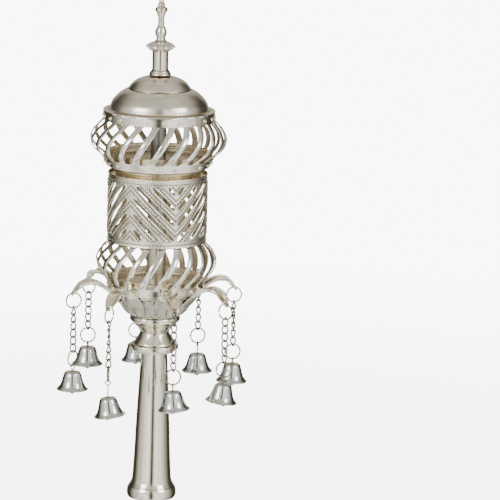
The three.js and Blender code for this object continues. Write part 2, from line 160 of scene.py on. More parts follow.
@dataclass
class MeshDraft:
    """Corners and faces in millimetres, gathered before they become one mesh.

    Attributes:
        corners: the places of the corners.
        faces: the corners of each face.
        finishes: for each face, which of the piece's finishes it takes.
    """

    corners: list[Vector] = field(default_factory=list)
    faces: list[tuple[int, ...]] = field(default_factory=list)
    finishes: list[int] = field(default_factory=list)

    def add_face(self, indices: Sequence[int], finish: int = 0) -> None:
        """Adds one face between corners that are already there."""
        self.faces.append(tuple(indices))
        self.finishes.append(finish)

    def grid(
        self,
        rows: Sequence[Sequence[Vector]],
        close_rows: bool = False,
        close_columns: bool = False,
        finish: int = 0,
    ) -> int:
        """Adds a grid of four-sided faces.

        Args:
            rows: the corners, row by row.
            close_rows: whether the last row joins the first.
            close_columns: whether the last column joins the first.
            finish: which of the piece's finishes the faces take.

        Returns:
            The index of the first corner.
        """
        start = len(self.corners)
        wide = len(rows[0])
        for row in rows:
            self.corners.extend(row)
        down = len(rows) if close_rows else len(rows) - 1
        across = wide if close_columns else wide - 1
        for i in range(down):
            for j in range(across):
                a = start + i * wide + j
                b = start + i * wide + (j + 1) % wide
                c = start + ((i + 1) % len(rows)) * wide + (j + 1) % wide
                d = start + ((i + 1) % len(rows)) * wide + j
                self.add_face((a, b, c, d), finish)
        return start

    def spin(
        self,
        profile: Profile,
        sides: int,
        lobe: Callable[[float, float], float] | None = None,
        finish: int = 0,
        closed: bool = False,
    ) -> None:
        """Adds a profile turned about the Z axis.

        Args:
            profile: radius and height pairs.
            sides: the facets round the axis.
            lobe: a factor on the radius, from the azimuth in degrees and the place along the
                profile from 0 to 1.
            finish: which of the piece's finishes it takes.
            closed: whether the profile's end joins its start.
        """
        rows = []
        for i, (r, z) in enumerate(profile):
            along = i / max(len(profile) - 1, 1)
            row = []
            for j in range(sides):
                azimuth = 360 * j / sides
                factor = lobe(azimuth, along) if lobe else 1.0
                row.append(polar(r * factor, azimuth, z))
            rows.append(row)
        self.grid(rows, close_rows=closed, close_columns=True, finish=finish)

    def tube(
        self,
        path: Sequence[Vector],
        radius: float | Sequence[float],
        sides: int = 8,
        closed: bool = False,
        finish: int = 0,
    ) -> None:
        """Adds a round wire along a path.

        Args:
            path: the points along its middle.
            radius: its radius, or one for each point.
            sides: the facets round the wire.
            closed: whether the path's end joins its start.
            finish: which of the piece's finishes it takes.
        """
        count = len(path)
        radii = [radius] * count if isinstance(radius, (int, float)) else list(radius)
        rows = []
        side = None
        for i, point in enumerate(path):
            before = path[i - 1] if closed or i else point
            after = path[(i + 1) % count] if closed or i + 1 < count else point
            along = (after - before).normalized()
            if side is None:
                side = along.orthogonal().normalized()
            side = (side - along * side.dot(along)).normalized()
            up = along.cross(side)
            rows.append(
                [
                    point
                    + (side * math.cos(t) + up * math.sin(t)) * radii[i]
                    for t in (2 * math.pi * s / sides for s in range(sides))
                ]
            )
        start = self.grid(rows, close_rows=closed, close_columns=True, finish=finish)
        if not closed:
            self.add_face(range(start, start + sides), finish)
            last = start + (count - 1) * sides
            self.add_face(range(last, last + sides), finish)

    def moved(self, matrix: Matrix) -> "MeshDraft":
        """The same draft with every corner moved by a matrix in millimetres."""
        self.corners = [matrix @ corner for corner in self.corners]
        return self

    def add(self, other: "MeshDraft") -> None:
        """Takes in the corners and faces of another draft."""
        start = len(self.corners)
        self.corners.extend(other.corners)
        for face, finish in zip(other.faces, other.finishes):
            self.add_face([start + index for index in face], finish)

    def build(
        self, name: str, finishes: Sequence[bpy.types.Material], sharp: float = 38.0
    ) -> bpy.types.Object:
        """Makes the mesh object.

        Args:
            name: the name of the object.
            finishes: its materials, in the order that the faces name them.
            sharp: the angle between faces, in degrees, above which an edge stays crisp.

        Returns:
            The object, linked into the scene.
        """
        mesh = bpy.data.meshes.new(name)
        mesh.from_pydata([corner * MM for corner in self.corners], [], self.faces)
        for material in finishes:
            mesh.materials.append(material)
        mesh.polygons.foreach_set("material_index", self.finishes)
        work = bmesh.new()
        work.from_mesh(mesh)
        bmesh.ops.remove_doubles(work, verts=work.verts, dist=WELD)
        bmesh.ops.dissolve_degenerate(work, dist=SLIVER, edges=work.edges)
        bmesh.ops.recalc_face_normals(work, faces=work.faces)
        work.to_mesh(mesh)
        work.free()
        mesh.polygons.foreach_set("use_smooth", [True] * len(mesh.polygons))
        mesh.set_sharp_from_angle(angle=math.radians(sharp))
        piece = bpy.data.objects.new(name, mesh)
        bpy.context.scene.collection.objects.link(piece)
        return piece


class Slot(Enum):
    """The material slots of the record."""

    BRIGHT = "bright_plate"
    SATIN = "satin_plate"
    CHASED = "chased_plate"
    WIRE = "wire"
    NICKEL = "nickel"
    TARNISH = "tarnish"


def mount(piece: bpy.types.Object, slot: Slot, *nodes: str) -> bpy.types.Object:
    """Puts a finished piece in the frame in place of its solids.

    Args:
        piece: the piece.
        slot: the material slot that it stands for; not used.
        *nodes: the solids that it replaces.

    Returns:
        The piece.
    """
    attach(piece, "root")
    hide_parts(*nodes)
    LOG.info("%s: %d faces for %s", piece.name, len(piece.data.polygons), ", ".join(nodes))
    return piece


def drill(piece: bpy.types.Object, pins: bpy.types.Object) -> None:
    """Cuts pins out of a piece and removes them.

    Args:
        piece: the piece.
        pins: the pins.
    """
    cut = piece.modifiers.new("holes", "BOOLEAN")
    cut.operation, cut.solver, cut.object = "DIFFERENCE", "EXACT", pins
    graph = bpy.context.evaluated_depsgraph_get()
    mesh = bpy.data.meshes.new_from_object(piece.evaluated_get(graph))
    piece.modifiers.clear()
    piece.data = mesh
    bpy.data.objects.remove(pins)


def take_in(piece: bpy.types.Object, other: bpy.types.Object) -> None:
    """Joins another object with the same finishes into a piece.

    Args:
        piece: the piece.
        other: the object, which is removed.
    """
    work = bmesh.new()
    work.from_mesh(piece.data)
    work.from_mesh(other.data)
    work.to_mesh(piece.data)
    work.free()
    bpy.data.objects.remove(other)


# ---------------------------------------------------------------- shared effects


@dataclass
class Wiring:
    """A node tree being wired, for a material or a group.

    Attributes:
        tree: the node tree.
    """

    tree: bpy.types.NodeTree

    def node(self, kind: str, **settings: object) -> bpy.types.Node:
        """Adds a node of a kind, with its settings.

        Args:
            kind: the node's type name.
            **settings: attributes to set on it.

        Returns:
            The node.
        """
        made = self.tree.nodes.new(kind)
        for key, value in settings.items():
            setattr(made, key, value)
        return made

    def feed(self, source: object, socket: bpy.types.NodeSocket) -> None:
        """Links an output to a socket, or sets the socket to a plain value."""
        if isinstance(source, bpy.types.NodeSocket):
            self.tree.links.new(source, socket)
        else:
            socket.default_value = source

    def math(self, operation: str, *values: object) -> bpy.types.NodeSocket:
        """The result of a math operation on outputs or plain numbers."""
        made = self.node("ShaderNodeMath", operation=operation)
        for value, socket in zip(values, made.inputs):
            self.feed(value, socket)
        return made.outputs[0]

    def blend(self, factor: object, first: object, second: object) -> bpy.types.NodeSocket:
        """The colour between two colours at a factor."""
        made = self.node("ShaderNodeMix", data_type="RGBA")
        self.feed(factor, made.inputs["Factor"])
        self.feed(first, made.inputs["A"])
        self.feed(second, made.inputs["B"])
        return made.outputs["Result"]

    def inverse(self, value: object) -> bpy.types.NodeSocket:
        """One less a value."""
        return self.math("SUBTRACT", 1.0, value)

    def off(self, value: object, level: object) -> bpy.types.NodeSocket:
        """How far a value is from a level, either way."""
        return self.math("ABSOLUTE", self.math("SUBTRACT", value, level))

    def distance(self, across: object, along: object) -> bpy.types.NodeSocket:
        """The straight distance, from its two parts at right angles."""
        squares = [self.math("POWER", part, 2.0) for part in (across, along)]
        return self.math("SQRT", self.math("ADD", *squares))

    def split(self, vector: bpy.types.NodeSocket) -> Sequence[bpy.types.NodeSocket]:
        """The X, Y and Z of a vector."""
        parts = self.node("ShaderNodeSeparateXYZ")
        self.feed(vector, parts.inputs[0])
        return parts.outputs

    def azimuth(self, x: bpy.types.NodeSocket, y: bpy.types.NodeSocket) -> bpy.types.NodeSocket:
        """The azimuth in degrees of a place or a direction."""
        return self.math("DEGREES", self.math("ARCTAN2", x, self.math("MULTIPLY", y, -1.0)))

    def step(self, value: object, low: object, high: object) -> bpy.types.NodeSocket:
        """A soft step of a value from 0 at low to 1 at high."""
        made = self.node("ShaderNodeMapRange", interpolation_type="SMOOTHSTEP")
        self.feed(value, made.inputs["Value"])
        self.feed(low, made.inputs["From Min"])
        self.feed(high, made.inputs["From Max"])
        return made.outputs["Result"]

    def noise(self, vector: object, scale: object, detail: float = 2.0) -> bpy.types.NodeSocket:
        """The value of a noise texture, around a half."""
        made = self.node("ShaderNodeTexNoise")
        self.feed(vector, made.inputs["Vector"])
        self.feed(scale, made.inputs["Scale"])
        made.inputs["Detail"].default_value = detail
        return made.outputs["Fac"]


class Sock(Enum):
    """The kinds of socket that an effect has."""

    NUMBER = "NodeSocketFloat"
    VECTOR = "NodeSocketVector"
    COLOUR = "NodeSocketColor"


def new_effect(
    name: str, inputs: Sequence[tuple[str, Sock]], outputs: Sequence[tuple[str, Sock]]
) -> tuple[Wiring, bpy.types.Node, bpy.types.Node]:
    """Makes an empty node group.

    Args:
        name: the group's name.
        inputs: the name and kind of each input.
        outputs: the name and kind of each output.

    Returns:
        The group's wiring, its input node and its output node.
    """
    tree = bpy.data.node_groups.new(name, "ShaderNodeTree")
    for label, kind in inputs:
        tree.interface.new_socket(label, in_out="INPUT", socket_type=kind.value)
    for label, kind in outputs:
        tree.interface.new_socket(label, in_out="OUTPUT", socket_type=kind.value)
    wiring = Wiring(tree)
    return wiring, wiring.node("NodeGroupInput"), wiring.node("NodeGroupOutput")


@lru_cache(maxsize=None)
def handling_effect() -> bpy.types.NodeTree:
    """The cloudiness and the hairline scratches that handling and polishing leave on plate."""
    wiring, given, result = new_effect(
        "Handling",
        [("Vector", Sock.VECTOR), ("Cloud Scale", Sock.NUMBER), ("Scratch Scale", Sock.NUMBER)],
        [("Cloud", Sock.NUMBER), ("Scratch", Sock.NUMBER)],
    )
    cloud = wiring.noise(given.outputs["Vector"], given.outputs["Cloud Scale"], 3.0)
    wiring.feed(wiring.step(cloud, 0.38, 0.68), result.inputs["Cloud"])
    stretch = wiring.node("ShaderNodeMapping")
    stretch.inputs["Scale"].default_value = (1.0, 1.0, 7.0)
    stretch.inputs["Rotation"].default_value = (0.2, 0.35, 0.0)
    wiring.feed(given.outputs["Vector"], stretch.inputs["Vector"])
    scratch = wiring.noise(stretch.outputs["Vector"], given.outputs["Scratch Scale"], 4.0)
    wiring.feed(scratch, result.inputs["Scratch"])
    return wiring.tree


@lru_cache(maxsize=None)
def toning_effect() -> bpy.types.NodeTree:
    """The warm toning that plate takes in patches where polish doesn't reach."""
    wiring, given, result = new_effect(
        "Toning",
        [
            ("Vector", Sock.VECTOR),
            ("Scale", Sock.NUMBER),
            ("Cover", Sock.NUMBER),
            ("Clean", Sock.COLOUR),
            ("Toned", Sock.COLOUR),
        ],
        [("Color", Sock.COLOUR)],
    )
    patch = wiring.noise(given.outputs["Vector"], given.outputs["Scale"], 5.0)
    edge = wiring.math("SUBTRACT", 0.78, wiring.math("MULTIPLY", given.outputs["Cover"], 0.5))
    mask = wiring.step(patch, edge, wiring.math("ADD", edge, 0.16))
    colour = wiring.blend(mask, given.outputs["Clean"], given.outputs["Toned"])
    wiring.feed(colour, result.inputs["Color"])
    return wiring.tree


@lru_cache(maxsize=None)
def seam_effect() -> bpy.types.NodeTree:
    """A soft ring of dirt round the axis at a height, such as a line of old solder."""
    wiring, given, result = new_effect(
        "Seam Line",
        [("Vector", Sock.VECTOR), ("Height", Sock.NUMBER), ("Width", Sock.NUMBER)],
        [("Mask", Sock.NUMBER)],
    )
    height = wiring.split(given.outputs["Vector"])[2]
    ragged = wiring.noise(given.outputs["Vector"], 260.0, 3.0)
    shift = wiring.math("MULTIPLY", wiring.math("SUBTRACT", ragged, 0.5), given.outputs["Width"])
    away = wiring.off(wiring.math("ADD", height, shift), given.outputs["Height"])
    near = wiring.inverse(wiring.step(away, 0.0, given.outputs["Width"]))
    wiring.feed(near, result.inputs["Mask"])
    return wiring.tree


# ---------------------------------------------------------------- finishes

Colour = tuple[float, float, float]


def opaque(colour: Colour) -> tuple[float, float, float, float]:
    """The colour with full cover."""
    return (*colour, 1.0)


@dataclass(frozen=True)
class Plate:
    """Plated or bare metal that is handled, polished and toned.

    Attributes:
        name: the finish's name.
        clean: the colour where it is polished.
        toned: the colour where it has toned.
        cover: how much of it has toned, from 0 to 1.
        patch: the scale of the toned patches.
        smooth: the roughness where it is polished.
        dull: the roughness where it is cloudy.
        scratch: the strength of the hairlines.
        seams: heights in millimetres of dirt lines round the axis.
        seam_width: the width of those lines in millimetres.
        seam_colour: the colour of those lines.
    """

    name: str
    clean: Colour
    toned: Colour
    cover: float = 0.35
    patch: float = 60.0
    smooth: float = 0.14
    dull: float = 0.24
    scratch: float = 0.06
    seams: tuple[float, ...] = ()
    seam_width: float = 0.5
    seam_colour: Colour = (0.30, 0.22, 0.12)

    def material(self) -> bpy.types.Material:
        """The material of the finish."""
        material = bpy.data.materials.new(self.name)
        material.use_nodes = True
        material.diffuse_color = opaque(self.clean)
        wiring = Wiring(material.node_tree)
        shader = material.node_tree.nodes["Principled BSDF"]
        shader.inputs["Metallic"].default_value = 1.0
        place = wiring.node("ShaderNodeTexCoord").outputs["Object"]

        toning = wiring.node("ShaderNodeGroup", node_tree=toning_effect())
        wiring.feed(place, toning.inputs["Vector"])
        toning.inputs["Scale"].default_value = self.patch
        toning.inputs["Cover"].default_value = self.cover
        toning.inputs["Clean"].default_value = opaque(self.clean)
        toning.inputs["Toned"].default_value = opaque(self.toned)
        colour = self.colour(wiring, place, toning.outputs["Color"])
        for height in self.seams:
            seam = wiring.node("ShaderNodeGroup", node_tree=seam_effect())
            wiring.feed(place, seam.inputs["Vector"])
            seam.inputs["Height"].default_value = height * MM
            seam.inputs["Width"].default_value = self.seam_width * MM
            colour = wiring.blend(seam.outputs["Mask"], colour, opaque(self.seam_colour))
        wiring.feed(colour, shader.inputs["Base Color"])

        handling = wiring.node("ShaderNodeGroup", node_tree=handling_effect())
        wiring.feed(place, handling.inputs["Vector"])
        handling.inputs["Cloud Scale"].default_value = self.patch * 1.7
        handling.inputs["Scratch Scale"].default_value = 900.0
        spread = wiring.node("ShaderNodeMapRange")
        wiring.feed(handling.outputs["Cloud"], spread.inputs["Value"])
        spread.inputs["To Min"].default_value = self.smooth
        spread.inputs["To Max"].default_value = self.dull
        wiring.feed(spread.outputs["Result"], shader.inputs["Roughness"])

        bump = wiring.node("ShaderNodeBump")
        bump.inputs["Strength"].default_value = self.scratch
        bump.inputs["Distance"].default_value = 0.1 * MM
        wiring.feed(handling.outputs["Scratch"], bump.inputs["Height"])
        wiring.feed(self.relief(wiring, place, bump), shader.inputs["Normal"])
        return material

    def colour(
        self, wiring: Wiring, place: bpy.types.NodeSocket, toned: bpy.types.NodeSocket
    ) -> bpy.types.NodeSocket:
        """The colour under the dirt lines; a finish with its own pattern adds it here."""
        return toned

    def relief(
        self, wiring: Wiring, place: bpy.types.NodeSocket, bump: bpy.types.Node
    ) -> bpy.types.NodeSocket:
        """The normal; a finish with its own fine relief adds it here."""
        return bump.outputs["Normal"]


@dataclass(frozen=True)
class ChasedPlate(Plate):
    """Plate with punched dots along a herringbone, a beaded line at each rim and matting.

    Attributes:
        bottom: the height of the drum's lower edge.
        top: the height of its upper edge.
        radius: its radius.
        valley: the azimuth of the zigzag's first downward point after the seam.
        seam: the azimuth of the seam in the sheet.
        column: the azimuth that one leg covers.
        rise: the height that one leg climbs.
        base: the height that the zigzag's slots start from.
        pitch: the height from slot to slot.
        slot: the upright height of a slot.
        dot: the distance from dot to dot.
    """

    bottom: float = 0.0
    top: float = 0.0
    radius: float = 32.5
    valley: float = -194.0
    seam: float = 148.0
    column: float = 54.0
    rise: float = 29.2
    base: float = 0.0
    pitch: float = 9.95
    slot: float = 3.2
    dot: float = 1.45

    # from a ridge's middle to each of its rows of dots, and to the line along each bead
    ROW = 1.15
    LINE = 1.85
    # from the drum's lower and upper edge to the row of dots in each border
    LOW_ROW = 2.2
    HIGH_ROW = 3.2
    # the borders' inner edges, and how softly the pattern starts there
    LOW_BORDER = 4.2
    HIGH_BORDER = 4.4
    START = 0.2
    # whole turns and slots added, so that no remainder is taken of a number under zero
    TURN_LIFT = 40.0
    LADDER_LIFT = 20.0
    GRIME = (0.13, 0.11, 0.07)
    GRIME_COVER = 0.9
    MATTING_SCALE = 1100.0
    MATTING = 0.35
    PUNCH_DEPTH = 0.42

    def off_ridge(
        self, wiring: Wiring, azimuth: bpy.types.NodeSocket, height: bpy.types.NodeSocket
    ) -> bpy.types.NodeSocket:
        """How far up or down a place is from the middle of the ridge between two slots.

        Args:
            wiring: the material's wiring.
            azimuth: the place's azimuth in degrees.
            height: its height in millimetres.

        Returns:
            The distance in millimetres.
        """
        beyond = wiring.math("MULTIPLY", wiring.math("GREATER_THAN", azimuth, self.seam), 360.0)
        turn = wiring.math("SUBTRACT", wiring.math("SUBTRACT", azimuth, beyond), self.valley)
        leg = wiring.math("PINGPONG", turn, self.column)
        climb = wiring.math("MULTIPLY", leg, self.rise / self.column)
        over = wiring.math("SUBTRACT", wiring.math("SUBTRACT", height, self.base), climb)
        ladder = wiring.math("ADD", wiring.math("DIVIDE", over, self.pitch), self.LADDER_LIFT)
        across = wiring.math("MULTIPLY", wiring.math("FRACT", ladder), self.pitch)
        return wiring.off(across, (self.pitch + self.slot) / 2)

    def dots(self, wiring: Wiring, place: bpy.types.NodeSocket) -> bpy.types.NodeSocket:
        """The mask of the punched dots and of the lines along the beads.

        Args:
            wiring: the material's wiring.
            place: the place on the piece.

        Returns:
            The mask, 1 in a dot.
        """
        x, y, z = wiring.split(place)
        azimuth = wiring.azimuth(x, y)
        height = wiring.math("DIVIDE", z, MM)
        off_ridge = self.off_ridge(wiring, azimuth, height)
        arc = wiring.math("MULTIPLY", azimuth, math.radians(self.radius))
        along = wiring.math("PINGPONG", wiring.math("ADD", arc, self.TURN_LIFT), self.dot / 2)

        from_dot = wiring.distance(wiring.off(off_ridge, self.ROW), along)
        row_dot = wiring.inverse(wiring.step(from_dot, 0.26, 0.52))
        from_line = wiring.off(off_ridge, self.LINE)
        line = wiring.math("SUBTRACT", 0.85, wiring.step(from_line, 0.1, 0.5))
        low_off = wiring.off(height, self.bottom + self.LOW_ROW)
        high_off = wiring.off(height, self.top - self.HIGH_ROW)
        from_rim_dot = wiring.distance(wiring.math("MINIMUM", low_off, high_off), along)
        rim_dot = wiring.inverse(wiring.step(from_rim_dot, 0.28, 0.55))

        low, high = self.bottom + self.LOW_BORDER, self.top - self.HIGH_BORDER
        between_borders = wiring.math(
            "MULTIPLY",
            wiring.step(height, low, low + self.START),
            wiring.inverse(wiring.step(height, high, high + self.START)),
        )
        pattern = wiring.math("MAXIMUM", row_dot, line)
        return wiring.math("MAXIMUM", wiring.math("MULTIPLY", pattern, between_borders), rim_dot)

    def colour(
        self, wiring: Wiring, place: bpy.types.NodeSocket, toned: bpy.types.NodeSocket
    ) -> bpy.types.NodeSocket:
        """The plate's colour with grime in the dots.

        Args:
            wiring: the material's wiring.
            place: the place on the piece.
            toned: the colour of the plate.

        Returns:
            The colour.
        """
        grime = wiring.math("MULTIPLY", self.dots(wiring, place), self.GRIME_COVER)
        return wiring.blend(grime, toned, opaque(self.GRIME))

    def relief(
        self, wiring: Wiring, place: bpy.types.NodeSocket, bump: bpy.types.Node
    ) -> bpy.types.NodeSocket:
        """The normal with the dots sunk into it.

        Args:
            wiring: the material's wiring.
            place: the place on the piece.
            bump: the hairlines' bump.

        Returns:
            The normal.
        """
        grain = wiring.node("ShaderNodeTexVoronoi", feature="F1")
        wiring.feed(place, grain.inputs["Vector"])
        grain.inputs["Scale"].default_value = self.MATTING_SCALE
        matting = wiring.math("MULTIPLY", grain.outputs["Distance"], self.MATTING)
        depth = wiring.math("SUBTRACT", matting, self.dots(wiring, place))
        punched = wiring.node("ShaderNodeBump")
        punched.inputs["Strength"].default_value = 1.0
        punched.inputs["Distance"].default_value = self.PUNCH_DEPTH * MM
        wiring.feed(depth, punched.inputs["Height"])
        wiring.feed(bump.outputs["Normal"], punched.inputs["Normal"])
        return punched.outputs["Normal"]


SILVER: Colour = (0.90, 0.875, 0.77)
CREAM: Colour = (0.80, 0.73, 0.54)
TAN: Colour = (0.66, 0.55, 0.37)


# ---------------------------------------------------------------- handle, collar and cup


@dataclass(frozen=True)
class Handle:
    """The tapered socket, open from below.

    Attributes:
        foot: the outline of the rolled foot, from the floor up.
        throat: the outline from the foot to the taper.
        taper: the outline of the tapered tube.
        bore: the outline of its inside, from the top down.
        sides: the facets round the axis.
    """

    foot: Profile = (
        (14.6, 0.0), (15.5, 0.5), (16.1, 2.0), (16.2, 3.9), (15.9, 6.0), (15.2, 7.6),
    )
    throat: Profile = ((15.2, 7.6), (14.2, 9.2), (13.35, 10.8), (12.85, 13.0), (12.6, 15.6))
    taper: Profile = (
        (12.6, 15.6), (11.7, 32.4), (11.0, 50.4), (9.8, 74.0), (8.55, 97.5), (8.3, 97.9),
    )
    bore: Profile = ((7.4, 97.9), (9.9, 50.4), (11.5, 15.6), (12.2, 10.6), (13.6, 5.0), (13.4, 0.3))
    sides: int = 112

    def build(self) -> None:
        """Builds the socket and dresses it."""
        outside = smooth_profile(self.foot, self.throat, self.taper)
        inside = smooth_run(self.bore)
        draft = MeshDraft()
        draft.spin(outside + inside, self.sides, closed=True)
        plate = Plate(
            "Socket plate", SILVER, CREAM, cover=0.3, patch=45.0, smooth=0.1, dull=0.17,
            seams=(7.9, 97.6), seam_width=0.35, seam_colour=(0.42, 0.34, 0.22),
        )
        piece = draft.build("socket", [plate.material()])
        mount(piece, Slot.BRIGHT, "socket_tube")


@dataclass(frozen=True)
class Collar:
    """The turned knop between the socket and the cup.

    Attributes:
        outline: runs of its outline from the bottom up, as radius and height over its underside.
        sides: the facets round the axis.
    """

    outline: tuple[Profile, ...] = (
        ((0.0, 0.0), (12.3, 0.0)),
        ((12.3, 0.0), (13.3, 0.7), (14.7, 1.7)),
        ((14.7, 1.7), (15.5, 2.2), (15.75, 3.6), (15.6, 4.9), (14.9, 5.5)),
        ((14.9, 5.5), (13.5, 5.7)),
        ((13.5, 5.7), (13.35, 6.4), (12.4, 7.9), (11.5, 9.3), (10.3, 11.3), (9.75, 12.4)),
        ((9.75, 12.4), (9.5, 13.2), (9.6, 14.0)),
        ((9.6, 14.0), (10.5, 15.5), (11.9, 17.2), (13.1, 18.3)),
        ((13.1, 18.3), (13.1, 18.8), (14.6, 20.0), (15.8, 21.0)),
        ((15.8, 21.0), (16.35, 21.7), (16.4, 23.2), (16.1, 24.1), (15.6, 24.3)),
        ((15.6, 24.3), (0.0, 24.3)),
    )
    sides: int = 96

    def build(self) -> None:
        """Builds the collar and dresses it."""
        seat = Seat.of("socket_collar")
        profile = [(r, seat.low.z + z) for r, z in smooth_profile(*self.outline, spans=4)]
        draft = MeshDraft()
        draft.spin(profile, self.sides)
        plate = Plate(
            "Collar plate", SILVER, CREAM, cover=0.35, patch=55.0, smooth=0.1, dull=0.18,
            seams=(seat.low.z + 5.6, seat.low.z + 13.2, seat.low.z + 18.5),
            seam_width=0.45, seam_colour=(0.36, 0.29, 0.18),
        )
        piece = draft.build("collar", [plate.material()])
        mount(piece, Slot.BRIGHT, "socket_collar")


@dataclass(frozen=True)
class Leaf:
    """One leaf arm, a trough with curled edges that arches out of the cup and droops.

    Attributes:
        azimuth: the direction it points in.
        reach: how far out its ring hangs.
        ring_height: the height of its ring's centre.
    """

    azimuth: float
    reach: float
    ring_height: float

    # distance out, height of the floor, width, rise of the edges, share of the fall
    STATIONS = (
        (24.0, 131.9, 13.0, 0.4, 0.0),
        (28.3, 136.6, 12.2, 0.7, 0.0),
        (33.6, 141.1, 9.4, 1.7, 0.0),
        (40.6, 144.4, 8.8, 2.1, 0.2),
        (47.8, 143.7, 9.6, 2.1, 0.6),
        (52.9, 140.5, 7.6, 1.5, 1.0),
        (56.3, 137.0, 3.2, 0.7, 1.0),
    )
    # the last station's distance and the ring's height that the stations are given for
    OUTER = 56.3
    USUAL_HEIGHT = 133.6
    # how far the tip lies beyond the ring, and the hole for the ring inside it
    TIP_BEYOND = 1.4
    HOLE_INSIDE = 0.6
    SHEET = 0.9
    EDGE = 0.5
    HOLE = 1.25
    # the rows that still belong to the cup, and the first one whose trough takes a painted tan
    # reflection
    ROOT_ROWS = 9
    TROUGH_ROW = 14

    def stations(self) -> list[tuple[float, float, float, float]]:
        """Distance out, height, width and edge rise at each place along the leaf."""
        fallen = self.ring_height - self.USUAL_HEIGHT
        stretch = self.reach + self.TIP_BEYOND - self.OUTER
        rough = [
            (r + (stretch if share == 1 else 0.0), z + share * fallen, width, rise)
            for r, z, width, rise, share in self.STATIONS
        ]
        fine = []
        columns = [smooth_run([(i, row[c]) for i, row in enumerate(rough)], 6) for c in range(4)]
        for samples in zip(*columns):
            fine.append(tuple(value for _, value in samples))
        return fine

    def punch(self) -> MeshDraft:
        """The upright pin whose shape is cut out of the leaf's tip for the ring."""
        draft = MeshDraft()
        low, high = self.ring_height, self.ring_height + 12.0
        draft.spin([(0.0, low), (self.HOLE, low), (self.HOLE, high), (0.0, high)], 20)
        outward = polar(self.reach - self.HOLE_INSIDE, self.azimuth, 0.0)
        return draft.moved(Matrix.Translation(outward))

    def draft(self) -> MeshDraft:
        """The leaf's mesh, as a closed trough."""
        draft = MeshDraft()
        stations = self.stations()
        across = [i / 8 - 1 for i in range(17)]
        top_rows, low_rows = [], []
        for index, (r, z, width, rise) in enumerate(stations):
            before = stations[max(index - 1, 0)]
            after = stations[min(index + 1, len(stations) - 1)]
            slope = math.atan2(after[1] - before[1], after[0] - before[0])
            out, up = -math.sin(slope), math.cos(slope)
            upper, lower = [], []
            for t in across:
                lift = rise * abs(t) ** 2.4
                x = t * width / 2
                thick = self.SHEET * (1 - 0.35 * abs(t) ** 3)
                for row, h in ((upper, lift), (lower, lift - thick)):
                    row.append(Vector((x, -(r + out * h), z + up * h)))
            top_rows.append(upper)
            low_rows.append(lower[::-1])
        rows = [upper + lower for upper, lower in zip(top_rows, low_rows)]
        start = draft.grid(rows, close_columns=True)
        wide = len(rows[0])
        half = len(across)
        for i in range(len(draft.faces)):
            row = i // wide
            # faces inside the trough take the painted tan reflection
            in_trough = 2 <= i % wide < half - 3 and row >= self.TROUGH_ROW
            draft.finishes[i] = 1 if in_trough else 2 if row >= self.ROOT_ROWS else 0
        for base in (start, start + (len(rows) - 1) * wide):
            for i in range(half - 1):
                draft.add_face((base + i, base + i + 1, base + wide - 2 - i, base + wide - 1 - i))
        return draft.moved(Matrix.Rotation(math.radians(self.azimuth), 4, "Z"))

    def edges(self) -> MeshDraft:
        """The two rolled edges of the leaf."""
        draft = MeshDraft()
        stations = self.stations()
        for side in (-1, 1):
            path = [
                Vector((side * (width / 2 - 0.2), -r, z + rise - 0.15))
                for r, z, width, rise in stations
            ]
            last = len(path) - 1
            radii = [self.EDGE * min(1.0, 0.5 + min(i, last - i) / 4) for i in range(last + 1)]
            draft.tube(path, radii, 8, finish=2)
        return draft.moved(Matrix.Rotation(math.radians(self.azimuth), 4, "Z"))


@dataclass(frozen=True)
class Cup:
    """The fluted cup and the leaf arms soldered to it.

    Attributes:
        ribs: how many flutes it has.
        phase: the azimuth of one rib.
        bowl: the outline of its outside from the bottom up.
        rim: the outline over its rim.
        hollow: the outline of its inside from the rim down.
        sides: the facets round the axis.
    """

    ribs: int = 16
    phase: float = 13.0
    bowl: Profile = ((16.4, 122.9), (19.9, 125.4), (23.0, 129.8), (25.4, 133.8), (28.7, 137.0))
    rim: Profile = ((28.7, 137.0), (29.1, 137.4), (28.7, 137.55), (27.8, 137.4))
    hollow: Profile = (
        (27.8, 137.4), (24.6, 134.4), (22.3, 131.2), (19.0, 126.6), (15.6, 124.4), (0.0, 124.4),
    )
    sides: int = 192

    def flute(self, azimuth: float, along: float) -> float:
        """The factor on the cup's radius: rounded ribs that fade at its rim and foot."""
        turn = ((azimuth - self.phase) / 360 * self.ribs + 0.5) % 1.0
        rib = abs(math.sin(math.pi * turn)) ** 0.7
        fade = min(1.0, max(0.0, (along - 0.02) * 9)) * min(1.0, max(0.0, (0.56 - along) * 14))
        return 1 - 0.095 * (1 - rib) * fade

    def build(self, leaves: Sequence[Leaf]) -> None:
        """Builds the cup with its leaves and dresses it.

        Args:
            leaves: the leaf arms.
        """
        draft = MeshDraft()
        outline = smooth_profile(self.bowl, self.rim, self.hollow)
        underside = [(0.0, outline[0][1])]
        draft.spin(underside + outline, self.sides, lobe=self.flute)
        blades, pins = MeshDraft(), MeshDraft()
        for leaf in leaves:
            blades.add(leaf.draft())
            pins.add(leaf.punch())
            draft.add(leaf.edges())
        plate = Plate(
            "Cup plate", (0.50, 0.485, 0.42), (0.42, 0.37, 0.27), cover=0.45, patch=70.0,
            smooth=0.15, dull=0.24, scratch=0.1,
        )
        # painted reflection: the trough's warm tan stands in for the brown that its hollow
        # reflects; its toned patches are the plate's own
        trough = Plate(
            "Leaf trough painted reflection", (0.93, 0.84, 0.62), (0.76, 0.62, 0.38), cover=0.5, patch=90.0,
            smooth=0.24, dull=0.36,
        )
        leaf_plate = Plate(
            "Leaf plate", SILVER, CREAM, cover=0.4, patch=80.0, smooth=0.1, dull=0.2, scratch=0.1,
        )
        finishes = [plate.material(), trough.material(), leaf_plate.material()]
        piece = draft.build("cup_with_leaves", finishes)
        blade = blades.build("blades", finishes)
        drill(blade, pins.build("pins", finishes))
        take_in(piece, blade)
        mount(piece, Slot.SATIN, "arm_cup")


# ---------------------------------------------------------------- baskets


